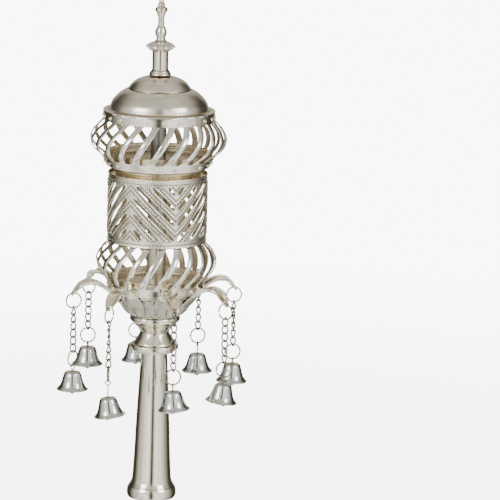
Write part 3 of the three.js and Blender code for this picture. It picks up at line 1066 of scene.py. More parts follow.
@dataclass(frozen=True)
class Basket:
    """A pierced sheet bent into a bulging ring: a band, S-curved strips and a second band.

    Attributes:
        node: the solid that it replaces.
        strips: how many strips it has.
        strip_width: the width of a strip.
        top_azimuth: the azimuth of one strip's upper end.
        twist: the turn from a strip's upper end to its lower end.
        upper_band: the outline of the upper band, from its top down.
        bulge: the outline of the strips, from the upper band down.
        lower_band: the outline of the lower band, from its top down.
        dots: for each row of embossed rings, its azimuth, radius, height and lean in degrees.
    """

    node: str
    strips: int
    strip_width: float
    top_azimuth: float
    twist: float
    upper_band: Profile
    bulge: Profile
    lower_band: Profile
    dots: tuple[tuple[float, float, float, float], ...]

    SHEET = 0.7
    # the radius of an opening's corners, the softening of an edge and the crown of a strip
    FILLET = 1.0
    SOFT = 0.16
    CROWN = 0.3
    # the radius at which the corners of the openings are laid out
    USUAL_RADIUS = 36.0
    STRIP_COLUMNS = 6
    GAP_COLUMNS = 12
    # an embossed ring with a dimple, as radius and height over the band
    RING = (
        (0.0, 0.04), (0.35, 0.08), (0.6, 0.4), (0.95, 0.5), (1.25, 0.34), (1.4, -0.1), (0.0, -0.1),
    )

    def outline(self) -> tuple[list[tuple[float, float]], int, int]:
        """The whole outline from the top down, and where the strips start and end in it."""
        strip = smooth_run(self.bulge, 7)
        upper, lower = (
            smooth_run(band, 3) if len(band) > 2 else list(band)
            for band in (self.upper_band, self.lower_band)
        )
        first = len(upper) - 1
        return upper[:-1] + strip + lower[1:], first, first + len(strip) - 1

    def columns(self) -> list[tuple[int, float, bool]]:
        """For each corner round the sheet: its strip, its place in the pitch in millimetres of
        strip or share of gap, and whether it is on the strip."""
        corners = []
        for strip in range(self.strips):
            for i in range(self.STRIP_COLUMNS):
                corners.append((strip, i / self.STRIP_COLUMNS, True))
            for i in range(self.GAP_COLUMNS):
                corners.append((strip, i / self.GAP_COLUMNS, False))
        return corners

    def azimuth_at(self, corner: tuple[int, float, bool], radius: float, down: float) -> float:
        """The azimuth of a corner of the sheet.

        Args:
            corner: the strip, the place and whether it is on the strip.
            radius: the radius there.
            down: how far down the strips it is, from 0 to 1.

        Returns:
            The azimuth in degrees.
        """
        strip, place, on_strip = corner
        pitch = 360 / self.strips
        half = math.degrees(self.strip_width / 2 / radius)
        middle = self.top_azimuth + pitch * strip + self.twist * down
        if on_strip:
            return middle - half + 2 * half * place
        return middle + half + (pitch - 2 * half) * place

    def sheet(self) -> MeshDraft:
        """The pierced sheet, with rounded corners to its openings and soft edges to its strips."""
        outline, first, last = self.outline()
        corners = self.columns()
        top, bottom = outline[first][1], outline[last][1]
        wide = len(corners)
        pitch = 360 / self.strips

        def fillet(corner: tuple[int, float, bool], radius: float) -> float:
            """How far an opening's rounded corner reaches in at a corner of the sheet."""
            _, place, on_strip = corner
            if on_strip:
                return self.FILLET
            gap = math.radians(pitch) * radius - self.strip_width
            off = min(place, 1 - place) * gap
            if off >= self.FILLET:
                return 0.0
            return self.FILLET - math.sqrt(self.FILLET**2 - (self.FILLET - off) ** 2)

        # the heights of each row, which bend round the corners of the openings
        rows: list[Callable[[tuple[int, float, bool]], float]] = []
        rows.extend(lambda corner, z=z: z for _, z in outline[: first + 1])
        rows.append(lambda corner: top - fillet(corner, outline[first][0]))
        rows.extend(
            lambda corner, z=z: z
            for _, z in outline[first + 1 : last]
            if bottom + self.FILLET < z < top - self.FILLET
        )
        rows.append(lambda corner: bottom + fillet(corner, outline[last][0]))
        rows.extend(lambda corner, z=z: z for _, z in outline[last:])
        strips_end = len(rows) - (len(outline) - last) - 1
        strip_rows = range(first + 1, strips_end)
        fillet_rows = (first, strips_end)

        def place(row: int, column: int, outer: bool) -> Vector:
            """The place of a corner on the sheet's outside or inside."""
            corner = corners[column % wide]
            z = rows[row](corner)
            radius = self.radius_at(outline, z)
            down = min(max((top - z) / (top - bottom), 0.0), 1.0)
            azimuth = self.azimuth_at(corner, radius, down)
            crown = 0.0
            if corner[2]:
                t = 2 * corner[1] - 1
                crown = self.CROWN * (1 - t * t) * min(1.0, 5 * down, 5 * (1 - down))
            at_edge = corner[1] == 0.0 and row in (*strip_rows, *fillet_rows)
            inset = self.SOFT if at_edge else 0.0
            depth = inset if outer else self.SHEET - inset
            return polar(radius - self.SOFT + crown - depth, azimuth, z)

        def is_open(row: int, column: int) -> bool:
            """Whether the face below and after a corner is left out for an opening."""
            corner = corners[column % wide]
            if corner[2]:
                return False
            if row in strip_rows:
                return True
            if row in fillet_rows:
                after = (corner[0], corner[1] + 1 / self.GAP_COLUMNS, False)
                return all(fillet(c, self.USUAL_RADIUS) <= 0 for c in (corner, after))
            return False

        draft = MeshDraft()
        outer: dict[tuple[int, int], int] = {}
        inner: dict[tuple[int, int], int] = {}
        for row in range(len(rows)):
            for column in range(wide):
                outer[row, column] = len(draft.corners)
                draft.corners.append(place(row, column, True))
                inner[row, column] = len(draft.corners)
                draft.corners.append(place(row, column, False))
        last_row = len(rows) - 1
        for row in range(last_row):
            for column in range(wide):
                if is_open(row, column):
                    continue
                right = (column + 1) % wide
                keys = [(row, column), (row, right), (row + 1, right), (row + 1, column)]
                draft.add_face([outer[k] for k in keys], 0)
                draft.add_face([inner[k] for k in keys], 1)
                sides = (
                    (row == 0 or is_open(row - 1, column), keys[0], keys[1]),
                    (is_open(row, column + 1), keys[1], keys[2]),
                    (row + 1 == last_row or is_open(row + 1, column), keys[2], keys[3]),
                    (is_open(row, column - 1 + wide), keys[3], keys[0]),
                )
                for open_side, a, b in sides:
                    if open_side:
                        draft.add_face([outer[a], outer[b], inner[b], inner[a]], 2)
        used = sorted({index for face in draft.faces for index in face})
        renumbered = {index: i for i, index in enumerate(used)}
        draft.corners = [draft.corners[index] for index in used]
        draft.faces = [tuple(renumbered[index] for index in face) for face in draft.faces]
        return draft

    @staticmethod
    def radius_at(outline: Profile, z: float) -> float:
        """The radius of an outline at a height."""
        for (r0, z0), (r1, z1) in zip(outline, outline[1:]):
            if z1 <= z <= z0:
                share = (z0 - z) / (z0 - z1) if z0 > z1 else 0.0
                return r0 + (r1 - r0) * share
        return outline[0][0] if z > outline[0][1] else outline[-1][0]

    def embossed_ring(self, azimuth: float, radius: float, z: float, lean: float) -> MeshDraft:
        """A small ring punched up from the band, with a dimple in it.

        Args:
            azimuth: where it is.
            radius: the radius of the band there.
            z: its height.
            lean: how far the band leans back, in degrees.

        Returns:
            Its mesh.
        """
        draft = MeshDraft()
        draft.spin(self.RING, 14, finish=3)
        tilt = Matrix.Rotation(math.radians(90 - lean), 4, "X")
        turn = Matrix.Rotation(math.radians(azimuth), 4, "Z")
        shift = Matrix.Translation(polar(radius, azimuth, z))
        return draft.moved(shift @ turn @ tilt)

    def build(self) -> None:
        """Builds the basket and dresses it."""
        draft = self.sheet()
        pitch = 360 / self.strips
        for azimuth, radius, z, lean in self.dots:
            for k in range(self.strips):
                draft.add(self.embossed_ring(azimuth + pitch * k, radius, z, lean))
        outside = Plate(
            f"{self.node} outside", (0.88, 0.875, 0.81), CREAM, cover=0.3, patch=50.0, smooth=0.1,
            dull=0.17,
        )
        inside = Plate(
            f"{self.node} inside", (0.66, 0.59, 0.45), (0.5, 0.42, 0.28), cover=0.5, patch=80.0,
            smooth=0.28, dull=0.42,
        )
        edge = Plate(
            f"{self.node} edges", (0.92, 0.87, 0.70), CREAM, cover=0.5, patch=90.0, smooth=0.2,
            dull=0.3,
        )
        boss = Plate(
            f"{self.node} bosses", (0.95, 0.86, 0.60), TAN, cover=0.5, patch=300.0, smooth=0.18,
            dull=0.3,
        )
        finishes = [finish.material() for finish in (outside, inside, edge, boss)]
        piece = draft.build(self.node + "_sheet", finishes, sharp=30.0)
        mount(piece, Slot.BRIGHT, self.node)


@dataclass(frozen=True)
class Turned:
    """A spun or turned piece that needs no more than its outline.

    Attributes:
        node: the solid that it replaces.
        base: the height that its outline counts from.
        outline: runs of its outline, as radius and height over the base.
        finish: its finish.
        slot: its material slot.
        sides: the facets round the axis.
    """

    node: str
    base: float
    outline: tuple[Profile, ...]
    finish: Plate
    slot: Slot
    sides: int = 112

    def build(self) -> None:
        """Builds the piece and dresses it."""
        outline = [(r, self.base + z) for r, z in smooth_profile(*self.outline, spans=5)]
        draft = MeshDraft()
        draft.spin(outline, self.sides)
        piece = draft.build(self.node + "_spun", [self.finish.material()], sharp=24.0)
        mount(piece, self.slot, self.node)


@dataclass(frozen=True)
class Drum:
    """The pierced and chased drum, with a herringbone of round-ended slots.

    Attributes:
        radius: its outer radius.
        wall: the thickness of its sheet.
        valleys: the azimuths of the downward points of the zigzag.
        seam: the azimuth of the seam, where the zigzag is cut short.
        column: the azimuth that one leg of the zigzag covers.
        rise: the height that one leg climbs.
        first: the azimuth from a downward point to the round end of a slot.
        last: the azimuth from a downward point to a slot's other round end.
        base: the height of a slot's lower edge over the drum's, carried on to a downward point.
        pitch: the height from slot to slot.
        slot: the upright height of a slot.
        low_end: the lowest place of a round end's middle over the drum's lower edge.
        high_end: the highest place of a round end's middle over the same.
        low_border: the height of the border under the pattern.
        high_border: the height of the border over it.
        step: the distance between the sheet's corners round the drum.
    """

    radius: float = 32.5
    wall: float = 0.7
    valleys: tuple[float, ...] = (-194.0, -86.0, 22.0, 130.0)
    seam: float = 148.0
    column: float = 54.0
    rise: float = 29.2
    first: float = 4.4
    last: float = 47.2
    base: float = 3.0
    pitch: float = 9.95
    slot: float = 3.2
    low_end: float = 6.9
    high_end: float = 38.5
    low_border: float = 5.2
    high_border: float = 5.0
    step: float = 0.5

    # the heights of the sheet's rows over a slot, up to the middle of the ridge
    RIDGE_ROWS = (0.0, 0.22, 0.5, 0.8, 1.15, 1.5, 2.2, 2.9, 3.2)
    # the heights of its rows over its lower edge, and of those under its upper edge
    LOW_ROWS = (0.0, 0.35, 0.7, 1.1, 1.7, 2.2, 2.7, 3.6)
    HIGH_ROWS = (3.6, 2.7, 2.1, 1.6, 1.1, 0.7, 0.35, 0.0)
    # how far past the borders' inner edges the rows of the pattern reach
    OVERLAP = 0.9
    # height, distance from the slot and width of the bead round it and of the line outside it
    BEAD = (0.46, 0.5, 0.34)
    LINE = (-0.2, 1.2, 0.28)
    # height and width of the rolled rims and of the lines in the borders
    RIM = (0.26, 0.4)
    BORDER_LINE = (-0.2, 0.28)
    SOFT = 0.18
    # how deep the ground of the chasing lies under the solid's surface
    GROUND = 0.3
    FAR = 9.0
    SHORTEST = 1.5

    def from_valley(self, azimuth: float) -> float:
        """How far an azimuth is from the nearest downward point, in degrees."""
        turn = (azimuth - self.seam) % 360 + self.seam - 360
        return min(abs(turn - valley) for valley in self.valleys)

    def level(self, azimuth: float) -> float:
        """How high the zigzag stands at an azimuth, in millimetres over its lowest."""
        return self.rise * self.from_valley(azimuth) / self.column

    def ends(self, k: int) -> tuple[float, float] | None:
        """The middles of the round ends of slot k.

        Args:
            k: the slot, counted from the one that starts at the drum's base.

        Returns:
            Their azimuths from the downward point, or nothing where the slot would be too short.
        """
        start = self.base + self.slot / 2 + k * self.pitch
        per_degree = self.rise / self.column
        near = max(self.first, (self.low_end - start) / per_degree)
        far = min(self.last, (self.high_end - start) / per_degree)
        return (near, far) if far - near > self.SHORTEST else None

    def capsule(self, k: int, azimuth: float, height: float) -> float:
        """How far a place is outside slot k, in millimetres along the sheet.

        Args:
            k: the slot.
            azimuth: the place's azimuth.
            height: its height over the drum's lower edge.

        Returns:
            The distance from the slot's edge, under zero inside it.
        """
        ends = self.ends(k)
        if ends is None:
            return self.FAR
        per_mm = math.radians(self.radius)
        start = self.base + self.slot / 2 + k * self.pitch
        (x0, z0), (x1, z1) = (
            (away * per_mm, start + self.rise * away / self.column) for away in ends
        )
        x = self.from_valley(azimuth) * per_mm
        dx, dz = x1 - x0, z1 - z0
        t = max(0.0, min(1.0, ((x - x0) * dx + (height - z0) * dz) / (dx * dx + dz * dz)))
        return math.hypot(x - x0 - t * dx, height - z0 - t * dz) - self.round_end

    @property
    def round_end(self) -> float:
        """The radius of a slot's round ends."""
        slope = math.atan2(self.rise, self.column * math.radians(self.radius))
        return self.slot / 2 * math.cos(slope)

    def half_opening(self, k: int, azimuth: float) -> float:
        """Half the upright height of a slot's opening, rounded off at its ends.

        Args:
            k: the slot.
            azimuth: the azimuth where it is measured.

        Returns:
            The half height, 0 where the slot isn't open.
        """
        ends = self.ends(k)
        if ends is None:
            return 0.0
        per_mm = math.radians(self.radius)
        away = self.from_valley(azimuth)
        inside = min(away - ends[0], ends[1] - away) * per_mm + self.round_end
        bend = self.round_end * 1.3
        if inside <= 0:
            return 0.0
        return self.slot / 2 * (math.sqrt(1 - (1 - inside / bend) ** 2) if inside < bend else 1.0)

    def relief(self, azimuth: float, z: float, bottom: float, top: float) -> float:
        """The height of the chasing over the sheet at a place, in millimetres.

        Args:
            azimuth: the place's azimuth.
            z: its height.
            bottom: the drum's lower edge.
            top: its upper edge.

        Returns:
            The height.
        """
        low, high = bottom + self.low_border, top - self.high_border

        def swell(shape: Sequence[float], off: float) -> float:
            """The height of a rounded ridge, or of a groove, at a distance from its middle."""
            return shape[0] * math.exp(-((off / shape[-1]) ** 2))

        height = sum(swell(self.RIM, z - line) for line in (bottom + 0.6, top - 0.6))
        for line in (bottom + 1.4, bottom + 3.9, top - 1.9, top - 4.4):
            height += swell(self.BORDER_LINE, z - line)
        if z < low - 0.4 or z > high + 0.4:
            return height
        k = math.floor((z - bottom - self.base - self.level(azimuth)) / self.pitch)
        away = min(self.capsule(n, azimuth, z - bottom) for n in (k - 1, k, k + 1))
        return height + sum(swell(shape, away - shape[1]) for shape in (self.BEAD, self.LINE))

    def row_heights(self, azimuth: float, bottom: float, top: float) -> list[tuple[float, bool]]:
        """The heights of the sheet's corners at an azimuth, from the bottom up.

        Args:
            azimuth: the azimuth.
            bottom: the drum's lower edge.
            top: its upper edge.

        Returns:
            Each height, and whether a slot's opening starts there.
        """
        low = bottom + self.low_border - self.OVERLAP
        high = top - self.high_border + self.OVERLAP
        over = list(self.RIDGE_ROWS)
        places = over + [self.pitch - self.slot - r for r in over[-2::-1]]
        rows = []
        for k in range(-4, 5):
            middle = bottom + self.base + self.slot / 2 + self.level(azimuth) + k * self.pitch
            half = self.half_opening(k, azimuth)
            above = self.half_opening(k + 1, azimuth)
            rows.append((middle - half, True))
            start, end = middle + half, middle + self.pitch - above
            rows.extend((start + (end - start) * p / places[-1], False) for p in places[:-1])
        rows.append((high, False))
        rows = [(min(max(z, low), high), slot) for z, slot in rows]
        lowest = [(bottom + z, False) for z in self.LOW_ROWS]
        return lowest + rows + [(top - z, False) for z in self.HIGH_ROWS]

    def build(self) -> None:
        """Builds the drum and dresses it."""
        seat = Seat.of("drum")
        bottom, top = seat.low.z, seat.high.z
        wide = round(2 * math.pi * self.radius / self.step)
        azimuths = [360 * i / wide - 180 for i in range(wide)]
        heights = [self.row_heights(azimuth, bottom, top) for azimuth in azimuths]
        count = len(heights[0])
        draft = MeshDraft()
        for azimuth, column in zip(azimuths, heights):
            for z, _ in column:
                edge = self.SOFT if z - bottom < 0.1 or top - z < 0.1 else 0.0
                lift = self.relief(azimuth, z, bottom, top) - self.GROUND - edge
                draft.corners.append(polar(self.radius + lift, azimuth, z))
                draft.corners.append(polar(self.radius - self.wall + edge / 2, azimuth, z))

        def corner(column: int, row: int, outer: bool) -> int:
            """The index of a corner of the sheet's outside or inside."""
            return ((column % wide) * count + row) * 2 + (0 if outer else 1)

        def rim(a: tuple[int, int], b: tuple[int, int]) -> None:
            """Adds the face through the sheet's thickness from one corner to the next."""
            ends = [corner(*a, True), corner(*b, True), corner(*b, False), corner(*a, False)]
            draft.add_face(ends, 2)

        def gap(column: int, row: int) -> float:
            """The greatest height of the face over a corner, on its left or its right."""
            sides = heights[column % wide], heights[(column + 1) % wide]
            return max(side[row + 1][0] - side[row][0] for side in sides)

        for column in range(wide):
            for row in range(count - 1):
                if gap(column, row) < 1e-6:
                    continue
                keys = [
                    (column, row), (column + 1, row), (column + 1, row + 1), (column, row + 1),
                ]
                if heights[column][row][1]:
                    rim(keys[0], keys[1])
                    rim(keys[2], keys[3])
                    continue
                draft.add_face([corner(*key, True) for key in keys], 0)
                draft.add_face([corner(*key, False) for key in keys], 1)
            for row in (0, count - 1):
                rim((column, row), (column + 1, row))
        outside = ChasedPlate(
            "Drum outside", (0.93, 0.90, 0.79), CREAM, cover=0.3, patch=50.0, smooth=0.16,
            dull=0.26, bottom=bottom, top=top, radius=self.radius, valley=self.valleys[0],
            seam=self.seam,
            column=self.column, rise=self.rise, base=bottom + self.base, pitch=self.pitch,
            slot=self.slot,
        )
        inside = Plate(
            "Drum inside", (0.62, 0.53, 0.38), (0.44, 0.35, 0.22), cover=0.55, patch=90.0,
            smooth=0.3, dull=0.45,
        )
        edge = Plate(
            "Drum edges", (0.82, 0.77, 0.64), TAN, cover=0.4, patch=120.0, smooth=0.22, dull=0.34,
        )
        finishes = [finish.material() for finish in (outside, inside, edge)]
        piece = draft.build("chased_drum", finishes, sharp=50.0)
        mount(piece, Slot.CHASED, "drum")


@dataclass(frozen=True)
class Spire:
    """The cast spindle on its gadrooned collar.

    Attributes:
        lobes: how many gadroons the collar has.
        collar: runs of the collar's outline, over the spire's underside.
        spindle: runs of the spindle's outline, over the same.
    """

    lobes: int = 18
    collar: tuple[Profile, ...] = (
        ((0.0, 0.0), (6.2, 0.0)),
        ((6.2, 0.0), (7.6, 0.9), (9.1, 1.9), (9.6, 2.6)),
        ((9.6, 2.6), (9.5, 3.1), (8.6, 3.9), (7.2, 4.8), (5.6, 5.5), (4.1, 5.9)),
        ((4.1, 5.9), (0.0, 5.9)),
    )
    spindle: tuple[Profile, ...] = (
        ((0.0, 5.0), (4.2, 5.0)),
        ((4.2, 5.0), (4.25, 5.7), (3.8, 6.3), (3.0, 7.2), (2.8, 7.8)),
        ((2.8, 7.8), (3.2, 9.4), (3.75, 11.0), (3.85, 12.2), (3.2, 14.2), (2.45, 15.6)),
        ((2.45, 15.6), (2.1, 16.6), (2.0, 19.6), (2.1, 21.6), (2.4, 22.8)),
        ((2.4, 22.8), (2.65, 23.4), (3.3, 24.8), (4.05, 26.3), (3.6, 27.6), (2.2, 28.5)),
        ((2.2, 28.5), (2.15, 28.8), (2.55, 29.6), (2.2, 30.3), (1.6, 30.7)),
        ((1.6, 30.7), (1.6, 31.0), (1.8, 31.9), (1.35, 33.0), (0.6, 33.5), (0.0, 33.6)),
    )

    def gadroon(self, azimuth: float, along: float) -> float:
        """The factor on the collar's radius: rounded lobes that fade towards its middle."""
        turn = (azimuth / 360 * self.lobes) % 1.0
        round_off = 1 - abs(math.cos(math.pi * turn)) ** 3
        fade = max(0.0, 1 - abs(along - 0.5) * 2.6)
        return 1 - 0.12 * (1 - round_off) * min(1.0, fade * 2)

    def build(self) -> None:
        """Builds the spire and dresses it."""
        base = Seat.of("spire").low.z
        draft = MeshDraft()
        collar = [(r, base + z) for r, z in smooth_profile(*self.collar, spans=5)]
        draft.spin(collar, self.lobes * 10, lobe=self.gadroon)
        draft.spin([(r, base + z) for r, z in smooth_profile(*self.spindle, spans=5)], 56)
        plate = Plate(
            "Spire plate", (0.83, 0.80, 0.73), TAN, cover=0.5, patch=140.0, smooth=0.13, dull=0.22,
            seams=(base + 6.2, base + 16.2, base + 28.6, base + 30.8), seam_width=0.45,
        )
        piece = draft.build("cast_spire", [plate.material()])
        mount(piece, Slot.BRIGHT, "spire")


# ---------------------------------------------------------------- bells on chains


@dataclass(frozen=True)
class Wirework:
    """The finishes that all the pendants share."""

    wire: bpy.types.Material
    nickel: bpy.types.Material
    bell_inside: bpy.types.Material
    tarnish: bpy.types.Material


@dataclass(frozen=True)
class Pendant:
    """A ring through a leaf's tip, a curb chain, a second ring and a bell with its clapper.

    Attributes:
        number: its number in the frame.
        azimuth: the direction of its leaf.
        links: the links in its chain.
        turn: the turn of its lower ring from facing the front, in degrees.
        tilt: how far its bell leans, in degrees.
    """

    number: int
    azimuth: float
    links: int
    turn: float
    tilt: float

    RING_RADIUS = 4.95
    RING_WIRE = 0.52
    LINK_HALF_WIDTH = 1.85
    LINK_HALF_LENGTH = 2.93
    LINK_WIRE = 0.54
    LINK_TWIST = 80.0
    HOOK = 1.15
    PITCH = 4.98
    EYELET_RADIUS = 1.6
    BELL_HEIGHT = 11.7
    BOB = (
        (0.0, 0.0), (0.7, 0.05), (1.4, 0.6), (1.55, 1.4), (1.35, 2.3), (0.8, 2.95), (0.0, 3.2),
    )
    BELL_RADIUS = 10.3
    BELL_OUTSIDE = (
        ((4.0, 0.0), (4.6, -0.1), (5.2, -0.6), (5.55, -1.4)),
        ((5.55, -1.4), (5.95, -2.6), (6.5, -4.6), (7.1, -6.6), (7.8, -8.4), (8.7, -9.9),
         (9.7, -10.9)),
        ((9.7, -10.9), (10.1, -11.15), (10.3, -11.45), (10.2, -11.7)),
    )
    BELL_INSIDE = (
        ((10.2, -11.7), (9.8, -11.6), (8.8, -10.7), (7.9, -9.5), (7.1, -7.9), (6.3, -5.6),
         (5.1, -1.9)),
        ((5.1, -1.9), (4.4, -0.9), (3.2, -0.7), (1.2, -0.7)),
        ((1.2, -0.7), (1.2, 0.0)),
        ((1.2, 0.0), (2.6, 0.05), (4.0, 0.0)),
    )

    def name(self, piece: str) -> str:
        """The frame's name for one of its pieces."""
        return f"{piece}_{self.number}"

    def ring(self, seat: Seat, facing: float) -> MeshDraft:
        """A jump ring, a round wire whose ends almost meet.

        Args:
            seat: where it hangs.
            facing: the turn of its plane from facing the front, in degrees.

        Returns:
            Its mesh.
        """
        turn = Matrix.Rotation(math.radians(facing), 4, "Z")
        path = []
        for i in range(45):
            t = math.radians(200 + 353 * i / 44)
            aside = 0.18 * (i / 44 - 0.5)
            path.append(
                seat.middle
                + turn
                @ Vector((self.RING_RADIUS * math.cos(t), aside, self.RING_RADIUS * math.sin(t)))
            )
        draft = MeshDraft()
        draft.tube(path, self.RING_WIRE, 8)
        return draft

    def link(self, centre: Vector, facing: float) -> MeshDraft:
        """A curb link, an oval of wire twisted about its length.

        Args:
            centre: its middle.
            facing: the turn of its middle from facing the front, in degrees.

        Returns:
            Its mesh.
        """
        path = []
        for i in range(30):
            t = 2 * math.pi * i / 30
            x = self.LINK_HALF_WIDTH * math.copysign(abs(math.cos(t)) ** 0.85, math.cos(t))
            z = self.LINK_HALF_LENGTH * math.sin(t)
            spin = math.radians(facing + self.LINK_TWIST * z / (2 * self.LINK_HALF_LENGTH))
            path.append(centre + Matrix.Rotation(spin, 4, "Z") @ Vector((x, 0, z)))
        draft = MeshDraft()
        draft.tube(path, self.LINK_WIRE, 8, closed=True)
        return draft

    def build_chain(self, axis: Vector, ring_z: float, finishes: Wirework) -> float:
        """Builds the chain.

        Args:
            axis: a point on the line that it hangs along.
            ring_z: the height of the upper ring's centre.
            finishes: the pendants' finishes.

        Returns:
            The height of the last link's middle.
        """
        first = ring_z - self.RING_RADIUS + self.HOOK - self.LINK_HALF_LENGTH
        half = self.LINK_TWIST / 2
        start = self.azimuth - half
        whole = (self.turn + 90 + half - start) % 180
        step = (whole - 180 if whole > 90 else whole) / (self.links - 1)
        draft = MeshDraft()
        for i in range(self.links):
            centre = Vector((axis.x, axis.y, first - i * self.PITCH))
            draft.add(self.link(centre, start + i * step))
        piece = draft.build(self.name("curb_chain"), [finishes.wire])
        mount(piece, Slot.WIRE, self.name("chain"))
        return first - (self.links - 1) * self.PITCH

    def build_bell(self, axis: Vector, finishes: Wirework) -> None:
        """Builds the bell.

        Args:
            axis: a point on the line that it hangs along.
            finishes: the pendants' finishes.
        """
        seat = Seat.of(self.name("bell"))
        lean = math.radians(abs(self.tilt))
        top = seat.low.z + self.BELL_HEIGHT * math.cos(lean) + self.BELL_RADIUS * math.sin(lean)
        draft = MeshDraft()
        draft.spin(smooth_profile(*self.BELL_OUTSIDE, spans=4), 56)
        inner = MeshDraft()
        inner.spin(smooth_profile(*self.BELL_INSIDE, spans=4), 56, finish=1)
        draft.add(inner)
        place = Matrix.Translation(Vector((axis.x, axis.y, top)))
        draft.moved(place @ Matrix.Rotation(math.radians(-self.tilt), 4, "Y"))
        piece = draft.build(self.name("spun_bell"), [finishes.nickel, finishes.bell_inside])
        mount(piece, Slot.NICKEL, self.name("bell"))

    def build_hanger(self, axis: Vector, finishes: Wirework) -> None:
        """Builds the hanger, an eyelet whose wire runs through the crown to the bob.

        Args:
            axis: a point on the line that it hangs along.
            finishes: the pendants' finishes.
        """
        seat = Seat.of(self.name("clapper"))
        middle = seat.high.z - 0.3 - self.EYELET_RADIUS
        turn = Matrix.Rotation(math.radians(self.turn + 90), 4, "Z")
        here = Vector((axis.x, axis.y, 0))
        draft = MeshDraft()
        loop = []
        for i in range(25):
            t = math.radians(-90 + 360 * i / 24)
            x, z = self.EYELET_RADIUS * math.cos(t), self.EYELET_RADIUS * math.sin(t)
            loop.append(here + turn @ Vector((x, 0.25 * (i / 24 - 0.5), middle + z)))
        draft.tube(loop, 0.4, 7)
        stem_top = middle - self.EYELET_RADIUS
        bob_top = seat.low.z + 3.2
        fall = bob_top - 0.4 - stem_top
        stem = [
            here
            + Vector((0.1 * math.sin(i * 1.1), 0.1 * math.cos(i * 1.7), stem_top + fall * i / 12))
            for i in range(13)
        ]
        draft.tube(stem, 0.42, 7)
        bob = MeshDraft()
        bob.spin([(r, seat.low.z + z) for r, z in smooth_profile(self.BOB, spans=3)], 18)
        draft.add(bob.moved(Matrix.Translation(here)))
        piece = draft.build(self.name("hanger"), [finishes.tarnish])
        mount(piece, Slot.TARNISH, self.name("clapper"))

    def build(self, finishes: Wirework) -> None:
        """Builds the pendant's pieces and dresses them.

        Args:
            finishes: the pendants' finishes.
        """
        upper = Seat.of(self.name("top_ring"))
        lower = Seat.of(self.name("lower_ring"))
        ring = self.ring(upper, self.azimuth - 90)
        ring = ring.build(self.name("upper_jump_ring"), [finishes.wire])
        mount(ring, Slot.WIRE, self.name("top_ring"))
        self.build_chain(upper.middle, upper.middle.z, finishes)
        ring = self.ring(lower, self.turn).build(self.name("lower_jump_ring"), [finishes.wire])
        mount(ring, Slot.WIRE, self.name("lower_ring"))
        self.build_bell(upper.middle, finishes)
        self.build_hanger(upper.middle, finishes)


# ---------------------------------------------------------------- stage


